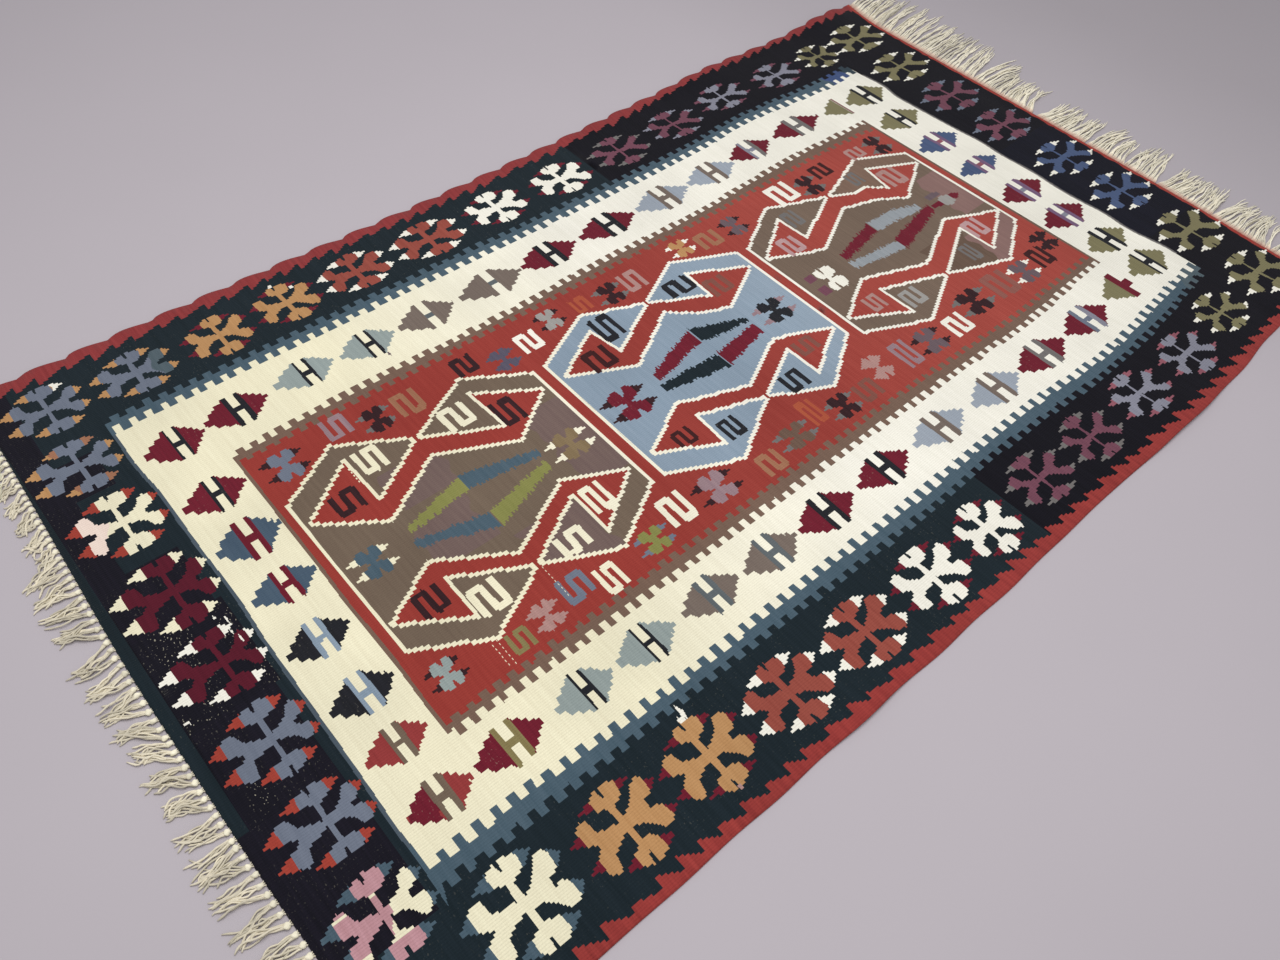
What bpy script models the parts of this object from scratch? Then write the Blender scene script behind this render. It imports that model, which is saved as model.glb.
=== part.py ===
"""A flat-woven wool rug (kilim) lying on a floor, with its warp ends left as fringe at both short ends.

Lengths are in metres on the rug's own plan. "across" runs from the left long edge to the right one and
starts at the left side of the ivory border. "along" runs from the knotted end to the plain end and starts
at the near side of that border. centred() moves the whole rug to its own middle.
"""
import math
from collections import namedtuple

import bmesh
import bpy
import numpy as np
from mathutils.geometry import delaunay_2d_cdt

CLOTH_THICKNESS = 0.003
GAP = 0.0003  # between the cloth and the roots of its fringe
OUTLINE_STEP = 0.030
INNER_STEP = 0.088

# The long edges: this rug is wider at its plain end.
LongEdge = namedtuple("LongEdge", "along left right")
LONG_EDGES = (
    LongEdge(-0.19, -0.234, 1.226),
    LongEdge(0.10, -0.236, 1.233),
    LongEdge(0.40, -0.235, 1.236),
    LongEdge(0.70, -0.232, 1.240),
    LongEdge(1.00, -0.237, 1.242),
    LongEdge(1.30, -0.248, 1.246),
    LongEdge(1.60, -0.264, 1.254),
    LongEdge(1.80, -0.273, 1.247),
    LongEdge(2.00, -0.272, 1.232),
    LongEdge(2.15, -0.276, 1.223),
    LongEdge(2.34, -0.280, 1.214),
)

# The short ends of the woven cloth: neither is quite straight or square.
ShortEnd = namedtuple("ShortEnd", "across near far")
SHORT_ENDS = (
    ShortEnd(-0.29, -0.164, 2.338),
    ShortEnd(-0.20, -0.167, 2.316),
    ShortEnd(0.00, -0.172, 2.305),
    ShortEnd(0.20, -0.179, 2.301),
    ShortEnd(0.50, -0.188, 2.294),
    ShortEnd(0.70, -0.187, 2.288),
    ShortEnd(0.90, -0.185, 2.281),
    ShortEnd(1.05, -0.180, 2.270),
    ShortEnd(1.26, -0.175, 2.262),
)

# The left selvedge is drawn in by its weft, so that it stands off the floor in shallow scallops.
SCALLOP_PITCH = 0.085
SCALLOP_START = 0.005
SCALLOP_DEPTH = 0.005
SCALLOP_LIFT = 0.0045
SCALLOP_REACH = 0.055  # how far a scallop's lift runs into the cloth
SCALLOP_LEAN = 0.6  # below 1, a scallop rises quickly and falls slowly
RIGHT_WAVE = 0.0015
RIGHT_WAVE_PITCH = 0.19
RIGHT_WAVE_SWELL = 2.7  # the pitch over which the right edge's wave comes and goes
END_REACH = 0.08  # over this length the cloth comes down to its fringed ends

# Broad soft rises of the cloth, each a rounded hump over an ellipse.
Rise = namedtuple("Rise", "across along half_across half_along height")
RISES = (
    Rise(-0.275, 2.200, 0.150, 0.160, 0.0080),
    Rise(-0.250, 1.700, 0.120, 0.160, 0.0050),
    Rise(1.225, 2.150, 0.120, 0.130, 0.0055),
    Rise(1.250, 1.620, 0.120, 0.220, 0.0060),
    Rise(1.240, 0.640, 0.090, 0.130, 0.0045),
    Rise(1.220, -0.060, 0.110, 0.100, 0.0040),
    Rise(0.300, 2.180, 0.200, 0.110, 0.0035),
)

# A clump's locks leave the cloth between its two roots and end between its two tips.
Clump = namedtuple("Clump", "root_from root_to tip_from tip_to length locks")
NEAR_CLUMPS = (
    Clump(-0.226, -0.070, -0.214, -0.052, 0.034, 11),
    Clump(-0.055, 0.190, -0.040, 0.206, 0.032, 17),
    Clump(0.205, 0.285, 0.222, 0.288, 0.055, 6),
    Clump(0.300, 0.385, 0.299, 0.362, 0.056, 6),
    Clump(0.400, 0.500, 0.410, 0.499, 0.057, 7),
    Clump(0.512, 0.600, 0.512, 0.566, 0.052, 6),
    Clump(0.613, 0.735, 0.585, 0.722, 0.050, 9),
    Clump(0.750, 0.795, 0.742, 0.786, 0.054, 4),
    Clump(0.808, 0.890, 0.806, 0.874, 0.057, 6),
    Clump(0.905, 1.010, 0.904, 1.000, 0.058, 7),
    Clump(1.024, 1.110, 1.020, 1.088, 0.055, 6),
    Clump(1.124, 1.217, 1.108, 1.208, 0.052, 7),
)
FAR_CLUMPS = (
    Clump(-0.272, -0.030, -0.312, -0.062, 0.180, 22),
    Clump(-0.019, 0.190, -0.036, 0.150, 0.172, 19),
    Clump(0.201, 0.248, 0.200, 0.240, 0.160, 5),
    Clump(0.259, 0.390, 0.263, 0.348, 0.118, 12),
    Clump(0.416, 0.555, 0.432, 0.546, 0.118, 13),
    Clump(0.574, 0.672, 0.580, 0.655, 0.124, 9),
    Clump(0.683, 0.765, 0.672, 0.748, 0.130, 8),
    Clump(0.781, 0.922, 0.798, 0.903, 0.116, 13),
    Clump(0.933, 1.078, 0.958, 1.048, 0.124, 13),
    Clump(1.090, 1.204, 1.088, 1.180, 0.120, 10),
)
STRIP_THICKNESS = 0.0035
NEAR_STRIP_WIDTH = 0.008
FAR_STRIP_WIDTH = 0.006
STRIP_END = 0.006  # strip beyond its first and last lock
NEAR_LOCK_WIDTH = 0.0062
FAR_LOCK_WIDTH = 0.0044
LOCK_HEIGHT = 0.0026
LOCK_TAPER = (1.0, 0.92, 0.85, 0.66)  # of the root's size, at each section from the root outwards
LENGTH_SPREAD = 0.10  # how much neighbouring locks differ in length
LENGTH_BEAT = 2.4  # radians of that difference from one lock to the next
LEAN_BEND = 0.8  # below 1, a lock leans most at its root
SWAY = 0.0035  # a clump's sideways curve

CLOTH_COLOUR = (0.30, 0.07, 0.06)
CLOTH_ROUGHNESS = 0.95
YARN_COLOUR = (0.78, 0.74, 0.62)
YARN_ROUGHNESS = 0.9


def curve_through(rows, x_name, y_name, x):
    """A smooth curve through two columns of a table: each point's slope comes from its neighbours."""
    xs = np.array([getattr(row, x_name) for row in rows])
    ys = np.array([getattr(row, y_name) for row in rows])
    slopes = np.gradient(ys, xs)
    i = int(np.clip(np.searchsorted(xs, x) - 1, 0, len(xs) - 2))
    span = xs[i + 1] - xs[i]
    t = float(np.clip((x - xs[i]) / span, 0.0, 1.0))
    start = (1 + 2 * t) * (1 - t) ** 2 * ys[i] + t * (1 - t) ** 2 * span * slopes[i]
    end = t * t * (3 - 2 * t) * ys[i + 1] + t * t * (t - 1) * span * slopes[i + 1]
    return start + end


def scallop(along):
    """0 to 1, once in each pitch of the left selvedge."""
    part = ((along - SCALLOP_START) / SCALLOP_PITCH) % 1.0
    return math.sin(math.pi * part**SCALLOP_LEAN)


def left_edge(along):
    return curve_through(LONG_EDGES, "along", "left", along) - SCALLOP_DEPTH * scallop(along)


def right_edge(along):
    swell = math.sin(2 * math.pi * along / RIGHT_WAVE_SWELL)
    wave = math.sin(2 * math.pi * along / RIGHT_WAVE_PITCH) * swell
    return curve_through(LONG_EDGES, "along", "right", along) + RIGHT_WAVE * wave


def near_end(across):
    return curve_through(SHORT_ENDS, "across", "near", across)


def far_end(across):
    return curve_through(SHORT_ENDS, "across", "far", across)


def rise(across, along, hump):
    offset = ((across - hump.across) / hump.half_across, (along - hump.along) / hump.half_along)
    r = math.hypot(*offset)
    return hump.height * (1 - r * r) ** 2 if r < 1 else 0.0


def held_down(across, along):
    """0 at a short end, where the fringe holds the cloth to the floor, and 1 well inside."""
    from_end = min(along - near_end(across), far_end(across) - along)
    part = min(1.0, max(0.0, from_end / END_REACH))
    return part * part * (3 - 2 * part)


def lift(across, along):
    """Height of the cloth's underside over the floor."""
    inward = (across - left_edge(along)) / SCALLOP_REACH
    ripple = SCALLOP_LIFT * scallop(along) * max(0.0, 1 - inward) ** 2
    highest = max(rise(across, along, hump) for hump in RISES)
    return held_down(across, along) * (ripple + highest)


def corner(long_edge, short_end):
    """Where a long edge meets a short end, found by going from one to the other a few times."""
    across = long_edge(0.0)
    for _ in range(5):
        along = short_end(across)
        across = long_edge(along)
    return across, along


def steps(start, end, step):
    """Evenly spaced values from start up to, but not with, end."""
    return np.linspace(start, end, max(1, round(abs(end - start) / step)), endpoint=False)


def cloth_outline():
    """The cloth's rim on plan, anticlockwise from its near left corner."""
    near_left, near_right = corner(left_edge, near_end), corner(right_edge, near_end)
    far_left, far_right = corner(left_edge, far_end), corner(right_edge, far_end)
    points = [(x, near_end(x)) for x in steps(near_left[0], near_right[0], OUTLINE_STEP)]
    points += [(right_edge(y), y) for y in steps(near_right[1], far_right[1], OUTLINE_STEP)]
    points += [(x, far_end(x)) for x in steps(far_right[0], far_left[0], OUTLINE_STEP)]
    points += [(left_edge(y), y) for y in steps(far_left[1], near_left[1], SCALLOP_PITCH / 4)]
    return points


def inner_points():
    """Staggered rows of points inside the outline, with two closer rows beside the left edge."""
    first = near_end(0.0) + INNER_STEP
    last = far_end(0.0) - INNER_STEP / 2
    points = []
    for row, along in enumerate(np.arange(first, last, INNER_STEP)):
        left = left_edge(along) + SCALLOP_REACH * 2 + (row % 2) * INNER_STEP / 2
        right = right_edge(along) - INNER_STEP / 3
        points += [(across, along) for across in np.arange(left, right, INNER_STEP)]
    for along in np.arange(first - INNER_STEP / 2, last, SCALLOP_PITCH * 0.4):
        points.append((left_edge(along) + SCALLOP_REACH * 0.4, along))
        points.append((left_edge(along) + SCALLOP_REACH, along))
    return points


def woven_cloth():
    """A closed sheet: the same triangles at the top and at the underside, and a wall round the rim."""
    outline = cloth_outline()
    plan = [(float(x), float(y)) for x, y in outline + inner_points()]
    rim = list(range(len(outline)))
    found, _, triangles, sources = delaunay_2d_cdt(plan, [], [rim], 1, GAP / 10)[:4]
    under = [(p.x, p.y, lift(p.x, p.y)) for p in found]
    upper = [(x, y, z + CLOTH_THICKNESS) for x, y, z in under]
    count = len(found)
    place = {source: i for i, group in enumerate(sources) for source in group}
    rim = [place[i] for i in rim]
    faces = [tuple(t) for t in triangles]
    faces += [tuple(count + i for i in reversed(t)) for t in triangles]
    faces += [(b, a, count + a, count + b) for a, b in zip(rim, rim[1:] + rim[:1])]
    return upper + under, faces


class Fringe:
    """A narrow strip of warp ends beside the cloth, with locks fused to its outer face."""

    def __init__(self, side, end, strip_width, lock_width, clumps):
        self.side = side  # -1 towards the near end, 1 towards the far end
        self.end = end
        self.strip_width = strip_width
        self.lock_width = lock_width
        self.paths = [self.path(clump, i) for clump in clumps for i in range(clump.locks)]
        self.verts = []
        self.faces = []

    def inner(self, across):
        return self.end(across) + self.side * GAP

    def outer(self, across):
        return self.inner(across) + self.side * self.strip_width

    def path(self, clump, index):
        """Points on the floor along one lock, from its root on the strip's outer face to its tip."""
        part = index / (clump.locks - 1)
        root = clump.root_from + (clump.root_to - clump.root_from) * part
        tip = clump.tip_from + (clump.tip_to - clump.tip_from) * part
        beat = math.sin(LENGTH_BEAT * index + 9 * clump.root_from)
        reach = self.side * clump.length * (1 + LENGTH_SPREAD * beat)
        bend = SWAY * math.sin(17 * clump.root_from + 1.3)
        points = []
        for s in np.linspace(0, 1, len(LOCK_TAPER) + 1):
            across = root + (tip - root) * s**LEAN_BEND + bend * math.sin(math.pi * s)
            points.append((across, self.outer(root) + reach * s))
        return points

    def add(self, across, along, height):
        self.verts.append((across, along, height))
        return len(self.verts) - 1

    def strip_column(self, across):
        """The strip's inner top, inner bottom and outer top points."""
        return (
            self.add(across, self.inner(across), STRIP_THICKNESS),
            self.add(across, self.inner(across), 0.0),
            self.add(across, self.outer(across), STRIP_THICKNESS),
        )

    def section(self, at, taper):
        """A lock's three-sided section: two points on the floor and the ridge over them."""
        across, along = at
        half = self.lock_width * taper / 2
        return (
            self.add(across - half, along, 0.0),
            self.add(across + half, along, 0.0),
            self.add(across, along, LOCK_HEIGHT * taper),
        )

    def lock(self, path):
        """Adds one lock and returns its root section, which the strip's outer face goes round."""
        sections = [self.section(at, taper) for at, taper in zip(path, LOCK_TAPER)]
        for (a, b, c), (d, e, f) in zip(sections, sections[1:]):
            self.faces += [(a, b, e, d), (b, c, f, e), (c, a, d, f)]
        a, b, c = sections[-1]
        tip = self.add(*path[-1], 0.0)
        self.faces += [(a, b, tip), (b, c, tip), (c, a, tip)]
        return sections[0]

    def strip_between(self, column, root, next_column, next_root):
        """The strip from one lock to the next."""
        inner_top, inner_bottom, outer_top = column
        next_inner_top, next_inner_bottom, next_outer_top = next_column
        left, right, ridge = root
        next_left, _, next_ridge = next_root
        self.faces += [
            (inner_bottom, right, left),
            (right, next_left, next_ridge),
            (right, next_ridge, ridge),
            (ridge, next_ridge, next_outer_top),
            (ridge, next_outer_top, outer_top),
            (outer_top, next_outer_top, next_inner_top, inner_top),
            (inner_top, next_inner_top, next_inner_bottom, inner_bottom),
            (inner_bottom, next_inner_bottom, next_left, right),
        ]

    def strip_end(self, across, column, base, ridge):
        """Closes the strip beyond its first or last lock, whose outer base point is base."""
        inner_top, inner_bottom, outer_top = self.strip_column(across)
        outer_bottom = self.add(across, self.outer(across), 0.0)
        lock_inner_top, lock_inner_bottom, lock_outer_top = column
        self.faces += [
            (outer_bottom, base, ridge),
            (outer_bottom, ridge, lock_outer_top),
            (outer_bottom, lock_outer_top, outer_top),
            (outer_top, lock_outer_top, lock_inner_top, inner_top),
            (inner_top, lock_inner_top, lock_inner_bottom, inner_bottom),
            (inner_bottom, lock_inner_bottom, base, outer_bottom),
            (inner_top, inner_bottom, outer_bottom, outer_top),
        ]

    def build(self):
        roots = [self.lock(path) for path in self.paths]
        columns = [self.strip_column(path[0][0]) for path in self.paths]
        for i in range(len(roots) - 1):
            self.strip_between(columns[i], roots[i], columns[i + 1], roots[i + 1])
        last_left, last_right, last_ridge = roots[-1]
        self.faces.append((columns[-1][1], last_right, last_left))
        start = self.paths[0][0][0] - STRIP_END
        finish = self.paths[-1][0][0] + STRIP_END
        self.strip_end(start, columns[0], roots[0][0], roots[0][2])
        self.strip_end(finish, columns[-1], last_right, last_ridge)
        return self.verts, self.faces


def centred(parts):
    """The same pieces, moved so that the rug's box has its middle over the origin."""
    points = np.array([point for verts, _ in parts.values() for point in verts])
    middle_x, middle_y, _ = (points.min(0) + points.max(0)) / 2
    return {
        name: ([(x - middle_x, y - middle_y, z) for x, y, z in verts], faces)
        for name, (verts, faces) in parts.items()
    }


def material(name, colour, roughness):
    made = bpy.data.materials.new(name)
    made.use_nodes = True
    shader = made.node_tree.nodes["Principled BSDF"]
    shader.inputs["Base Color"].default_value = (*colour, 1.0)
    shader.inputs["Roughness"].default_value = roughness
    shader.inputs["Metallic"].default_value = 0.0
    return made


def piece(name, verts, faces, look):
    mesh = bpy.data.meshes.new(name)
    mesh.from_pydata([tuple(map(float, point)) for point in verts], [], faces)
    shell = bmesh.new()
    shell.from_mesh(mesh)
    bmesh.ops.triangulate(shell, faces=shell.faces)
    bmesh.ops.recalc_face_normals(shell, faces=shell.faces)
    shell.to_mesh(mesh)
    shell.free()
    mesh.materials.append(look)
    thing = bpy.data.objects.new(name, mesh)
    bpy.context.scene.collection.objects.link(thing)


def clear_scene():
    for thing in list(bpy.data.objects):
        bpy.data.objects.remove(thing, do_unlink=True)


def main():
    clear_scene()
    wool = material("woven_wool", CLOTH_COLOUR, CLOTH_ROUGHNESS)
    yarn = material("undyed_yarn", YARN_COLOUR, YARN_ROUGHNESS)
    knotted = Fringe(-1, near_end, NEAR_STRIP_WIDTH, NEAR_LOCK_WIDTH, NEAR_CLUMPS)
    plain = Fringe(1, far_end, FAR_STRIP_WIDTH, FAR_LOCK_WIDTH, FAR_CLUMPS)
    parts = centred(
        {
            "woven_cloth": woven_cloth(),
            "knotted_fringe": knotted.build(),
            "plain_fringe": plain.build(),
        }
    )
    looks = {"woven_cloth": wool, "knotted_fringe": yarn, "plain_fringe": yarn}
    for name, (verts, faces) in parts.items():
        piece(name, verts, faces, looks[name])


main()
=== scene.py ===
"""Looks of a flat-woven wool rug (kilim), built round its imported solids.

The rug's plan is measured in metres: "across" runs from the left long edge to the right one and starts at
the left side of the ivory border, and "along" runs from the knotted end to the plain end and starts at the
near side of that border. The pattern is woven as on a loom: every shape is filled in on a grid of warps
(columns) and picks of weft (rows), so its slanting sides come out in the steps of a slit-woven kilim.
"""
import math
import random
from collections import namedtuple
from functools import partial

import bpy
import numpy as np
from mathutils import Matrix, Vector, noise
from mathutils.geometry import delaunay_2d_cdt


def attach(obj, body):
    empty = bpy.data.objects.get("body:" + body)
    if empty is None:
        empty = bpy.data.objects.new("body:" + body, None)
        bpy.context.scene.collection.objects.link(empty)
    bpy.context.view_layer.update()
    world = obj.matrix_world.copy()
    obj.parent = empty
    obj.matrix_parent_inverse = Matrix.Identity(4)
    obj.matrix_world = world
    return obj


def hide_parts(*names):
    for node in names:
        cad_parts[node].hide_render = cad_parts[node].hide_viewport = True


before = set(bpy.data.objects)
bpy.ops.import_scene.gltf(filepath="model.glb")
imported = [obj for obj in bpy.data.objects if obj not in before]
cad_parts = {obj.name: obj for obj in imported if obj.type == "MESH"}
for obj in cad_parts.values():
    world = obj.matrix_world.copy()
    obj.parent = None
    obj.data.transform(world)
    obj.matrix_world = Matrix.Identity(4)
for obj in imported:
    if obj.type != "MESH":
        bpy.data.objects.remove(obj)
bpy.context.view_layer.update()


def table(columns, lengths, rows):
    """Rows with named columns; the first so many values of a row are lengths, given in millimetres."""
    kind = namedtuple("Row", columns)
    return [kind(*[value / 1000 for value in row[:lengths]], *row[lengths:]) for row in rows]


def parts(rows, whole=100):
    """Rows of numbers that are given in hundredths, or in another part of one."""
    return [tuple(value / whole for value in row) for row in rows]


# Where the plan's origin lies in the frame, which has the whole rug's middle over its own origin.
MIDDLE = (0.467139, 1.134698)

# The cloth's form, the same as its solid's
CLOTH_THICKNESS = 0.003
LONG_EDGES = table("along left right", 3, (
    (-190, -228, 1227), (100, -227, 1235), (400, -227, 1239), (700, -224, 1243), (1000, -228, 1245),
    (1300, -240, 1241), (1600, -255, 1246), (1800, -264, 1241), (2000, -262, 1226), (2150, -270, 1218),
    (2340, -278, 1211),
))
SHORT_ENDS = table("across near far", 3, (
    (-290, -164, 2338), (-200, -167, 2316), (0, -172, 2305), (200, -179, 2301), (500, -188, 2294),
    (700, -187, 2288), (900, -185, 2281), (1050, -180, 2270), (1260, -175, 2262),
))
SCALLOP_PITCH = 0.085
SCALLOP_START = 0.005
SCALLOP_DEPTH = 0.005
SCALLOP_LIFT = 0.0045
SCALLOP_REACH = 0.055
SCALLOP_LEAN = 0.6
RIGHT_WAVE = 0.0015
RIGHT_WAVE_PITCH = 0.19
RIGHT_WAVE_SWELL = 2.7
END_REACH = 0.08
RISES = table("across along half_across half_along height", 5, (
    (-275, 2200, 150, 160, 8), (-250, 1700, 120, 160, 5), (1225, 2150, 120, 130, 5.5),
    (1250, 1620, 120, 220, 6), (1240, 640, 90, 130, 4.5), (1220, -60, 110, 100, 4),
    (300, 2180, 200, 110, 3.5),
))

# The loom's grid
WARPS = 346
WARP = 0.0043
PICK = 0.0011
FIRST_ALONG = -0.2046
LAST_ALONG = 2.3540
MARGIN = 4  # spare columns beyond each long edge, for its scallops
BED_WARPS = 5  # the mesh has a vertex at least every so many warps and picks
BED_PICKS = 18
LINE_WARPS = 2  # a white outline's width, and the height of its steps and of its level parts
LINE_STEP = 8
LINE_PICKS = 6
STEEP = 0.5  # an edge that rises more than this is woven in steps
REDYE_STRAY = 7  # picks by which the level sides of a recoloured patch wander, in two beats
REDYE_BEATS = (0.45, 0.13)
RIM_STEP = 0.009
RIM_BULGE = 0.0008
PUCKER = 0.0011  # height of the cloth's small dimples
PUCKER_SIZE = 0.045
BOW = 0.0016  # how far a weft line strays from straight
BOW_SIZE = 0.13
WANDER = 0.0008  # the same, from one small motif to the next
WANDER_SIZE = 0.016

# Each yarn: the red, green and blue of its colour and of the tone it drifts to, in even light, out of 255
YARNS = {
    "navy": (26, 24, 35, 20, 19, 28), "midnight": (19, 18, 27, 14, 13, 21),
    "night_blue": (19, 20, 34, 14, 15, 27), "navy_worn": (24, 23, 33, 19, 18, 27),
    "bottle": (29, 40, 47, 24, 35, 41), "selvedge": (156, 62, 58, 138, 52, 50),
    "cherry": (146, 60, 61, 131, 51, 53), "madder": (152, 60, 53, 144, 54, 48),
    "brick": (165, 75, 66, 156, 67, 59), "russet": (150, 62, 55, 142, 55, 49),
    "steel": (78, 97, 110, 68, 88, 101), "royal": (70, 88, 131, 60, 78, 120),
    "teal": (86, 100, 108, 76, 91, 99), "ivory": (238, 233, 204, 231, 225, 196),
    "white": (243, 241, 230, 236, 234, 222), "umber": (120, 97, 84, 112, 90, 78),
    "earth": (114, 99, 85, 107, 92, 79), "mauve_earth": (115, 97, 92, 107, 89, 86),
    "sky": (138, 155, 172, 130, 148, 165), "pale_sky": (147, 163, 179, 139, 156, 172),
    "taupe": (119, 107, 99, 111, 99, 92), "crimson": (112, 31, 47, 101, 27, 42),
    "orange": (188, 144, 98, 177, 133, 88), "slate": (112, 120, 136, 105, 113, 129),
    "rose": (150, 92, 104, 136, 82, 94), "plum": (117, 73, 88, 107, 66, 81),
    "lilac": (137, 138, 152, 128, 129, 143), "olive": (129, 124, 92, 121, 116, 86),
    "denim": (78, 94, 128, 69, 85, 119), "rust": (153, 79, 68, 142, 70, 60),
    "pink": (193, 147, 155, 183, 137, 144), "blush": (240, 222, 210, 236, 216, 204),
    "mist": (149, 161, 159, 140, 152, 151), "lime": (133, 134, 78, 126, 128, 72),
    "ink": (37, 38, 44, 31, 32, 37), "pewter": (116, 113, 112, 108, 105, 104),
    "clay": (160, 113, 88, 150, 104, 79), "dusk": (90, 86, 102, 82, 78, 95),
    "cocoa": (130, 82, 73, 122, 75, 66), "weft_red": (170, 66, 56, 154, 56, 48),
    "blueberry": (75, 93, 110, 68, 86, 104), "haze": (156, 166, 178, 149, 158, 170),
    "mauve": (122, 98, 126, 110, 86, 116), "lichen": (134, 124, 84, 124, 112, 74),
    "heather": (152, 128, 134, 140, 116, 124), "ash": (176, 138, 133, 164, 128, 123),
    "ember": (170, 86, 60, 162, 76, 56), "smoulder": (146, 93, 85, 136, 85, 77),
    "bark": (64, 32, 33, 54, 27, 29), "smoke": (107, 92, 98, 99, 84, 91),
    "ashen": (156, 154, 151, 148, 146, 143), "husk": (110, 88, 76, 101, 80, 69),
    "soot": (56, 34, 38, 47, 28, 32), "flint": (97, 104, 108, 90, 97, 100),
    "scarlet": (149, 60, 60, 138, 54, 54), "wine": (90, 26, 42, 82, 23, 38),
    "sepia": (118, 101, 88, 110, 94, 82), "dusky": (139, 110, 105, 130, 102, 98),
    "deep": (80, 92, 103, 71, 83, 94), "coral": (163, 66, 54, 151, 60, 50),
    "ochre": (132, 114, 86, 124, 106, 79), "walnut": (106, 87, 75, 98, 80, 68),
    "fawn": (128, 104, 90, 120, 97, 84), "gloom": (54, 69, 79, 46, 60, 70),
    "fog": (154, 160, 166, 140, 147, 153), "pearl": (187, 154, 155, 177, 144, 146),
}
NUMBERS = {name: number for number, name in enumerate(YARNS)}
COTTON = (226, 220, 196)
# Yarns that turn into another along the rug: which, into what, from where and to where
FADES = (
    ("ivory", "white", 0.4, 1.0), ("madder", "russet", 0.45, 0.8), ("madder", "brick", 1.0, 1.4),
    ("sky", "pale_sky", 1.05, 1.25),
)
WEAR = {"navy_worn": 0.6, "navy": 0.08, "bottle": 0.05, "ink": 0.1, "crimson": 0.1}  # how much cotton shows

# The noises of the woven look: how fine along the weft and along the warp, detail and roughness
STREAKS = (0.025, 0.16, 4.0, 0.6)
CLOUDS = (0.02, 0.006, 2.0, 0.5)
FLECKS = (1.3, 0.9, 2.0, 0.5)
BARE_PATCHES = (0.06, 0.02, 2.0, 0.5)
BARE_SPECKS = (0.9, 0.33, 1.0, 0.5)
# The part of a noise's or a rib's values that counts, and the darkest and the lightest that it gives;
# what flecks give is added, and what the rib gives is painted shade in the furrows between the warp ribs
NOISE_RANGE = (0.3, 0.7)
STREAK_RANGE = (0.35, 0.65)
PATCH_RANGE = (0.45, 0.65)
SPECK_RANGE = (0.66, 0.70)
GROOVE = (0.0, 0.7)
CLOUD_SHADES = (0.93, 1.06)
FLECK_SHADES = (-0.07, 0.07)
GROOVE_PAINTED_SHADE = (0.90, 1.0)
FIBRE_SHADES = (0.88, 1.06)
SOIL_SHADES = (0.90, 1.04)
WEAVE_DEPTH = 0.0006
RIB_HEIGHT = 0.62  # as parts of that depth
BEAD_HEIGHT = 0.12
FLECK_HEIGHT = 0.30
FIBRE_DEPTH = 0.0003
FIBRE_SCALE = 900.0
SOIL_SCALE = 60.0
WOOL_ROUGHNESS = 0.95
WOOL_SHEEN = 0.06
YARN_ROUGHNESS = 0.9
YARN_SHEEN = 0.15
SPECULAR = 0.1
SETTLE_REACH = 0.02

# The fringes' locks, as in their solids
CLUMP = "root_from root_to tip_from tip_to length locks"
NEAR_CLUMPS = table(CLUMP, 5, (
    (-219, -70, -208, -52, 34, 11), (-55, 190, -40, 206, 32, 17), (205, 285, 222, 288, 55, 6),
    (300, 385, 299, 362, 56, 6), (400, 500, 410, 499, 57, 7), (512, 600, 512, 566, 52, 6),
    (613, 735, 585, 722, 50, 9), (750, 795, 742, 786, 54, 4), (808, 890, 806, 874, 57, 6),
    (905, 1010, 904, 1000, 58, 7), (1024, 1110, 1020, 1088, 55, 6), (1124, 1217, 1108, 1208, 52, 7),
))
FAR_CLUMPS = table(CLUMP, 5, (
    (-272, -30, -312, -62, 180, 22), (-19, 190, -36, 150, 172, 19), (201, 248, 200, 240, 160, 5),
    (259, 390, 263, 348, 118, 12), (416, 555, 432, 546, 118, 13), (574, 672, 580, 655, 124, 9),
    (683, 765, 672, 748, 130, 8), (781, 922, 798, 903, 116, 13), (933, 1078, 958, 1048, 124, 13),
    (1090, 1201, 1088, 1178, 120, 10),
))
NEAR_STRIP_WIDTH = 0.008
FAR_STRIP_WIDTH = 0.006
LENGTH_SPREAD = 0.10
LENGTH_BEAT = 2.4
LEAN_BEND = 0.8
SWAY = 0.0035

# The knotted end's cords; a pair is the least and the most, and CORD_LENGTHS are parts of a lock's length
NEAR_CORDS = 5  # from each knot
NEAR_POINTS = 15
CORD_RADIUS = 0.00145
CORD_LENGTHS = (0.78, 1.12)
CORD_WAVES = (0.9, 2.0)
CORD_SWINGS = (0.0014, 0.0038)
CORD_CURL = 0.0050
CORD_STRAY = 0.0025
CORD_OVER = 0.0030  # how high they cross over one another
CORD_ROOT_APART = 0.0013  # between neighbours at the roots
CORD_APART = 0.0014  # how much further apart they are at the tips
CORD_SIZES = (0.88, 1.14)
CORD_SPREAD = 0.10  # of their tones
CORD_SIDES = 6
CORD_TWIST = 1.05
NEAR_ROOT_RISE = 0.0018  # where they leave the knots
FULL_TURN = 6.3  # about, in radians, for where a wave starts
BUNCH = 3  # knots whose cords lie together
GATHER = 0.6
FOOT_APART = 0.0042  # between the three yarns that come from the cloth into a knot
FOOT_AT = (0.0012, 0.0016)  # how far inside the cloth's end they start, and how high
FOOT_SPREAD = 0.03
FOOT_RADII = (0.0011, 0.0012, 0.0011, 0.001)

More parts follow.
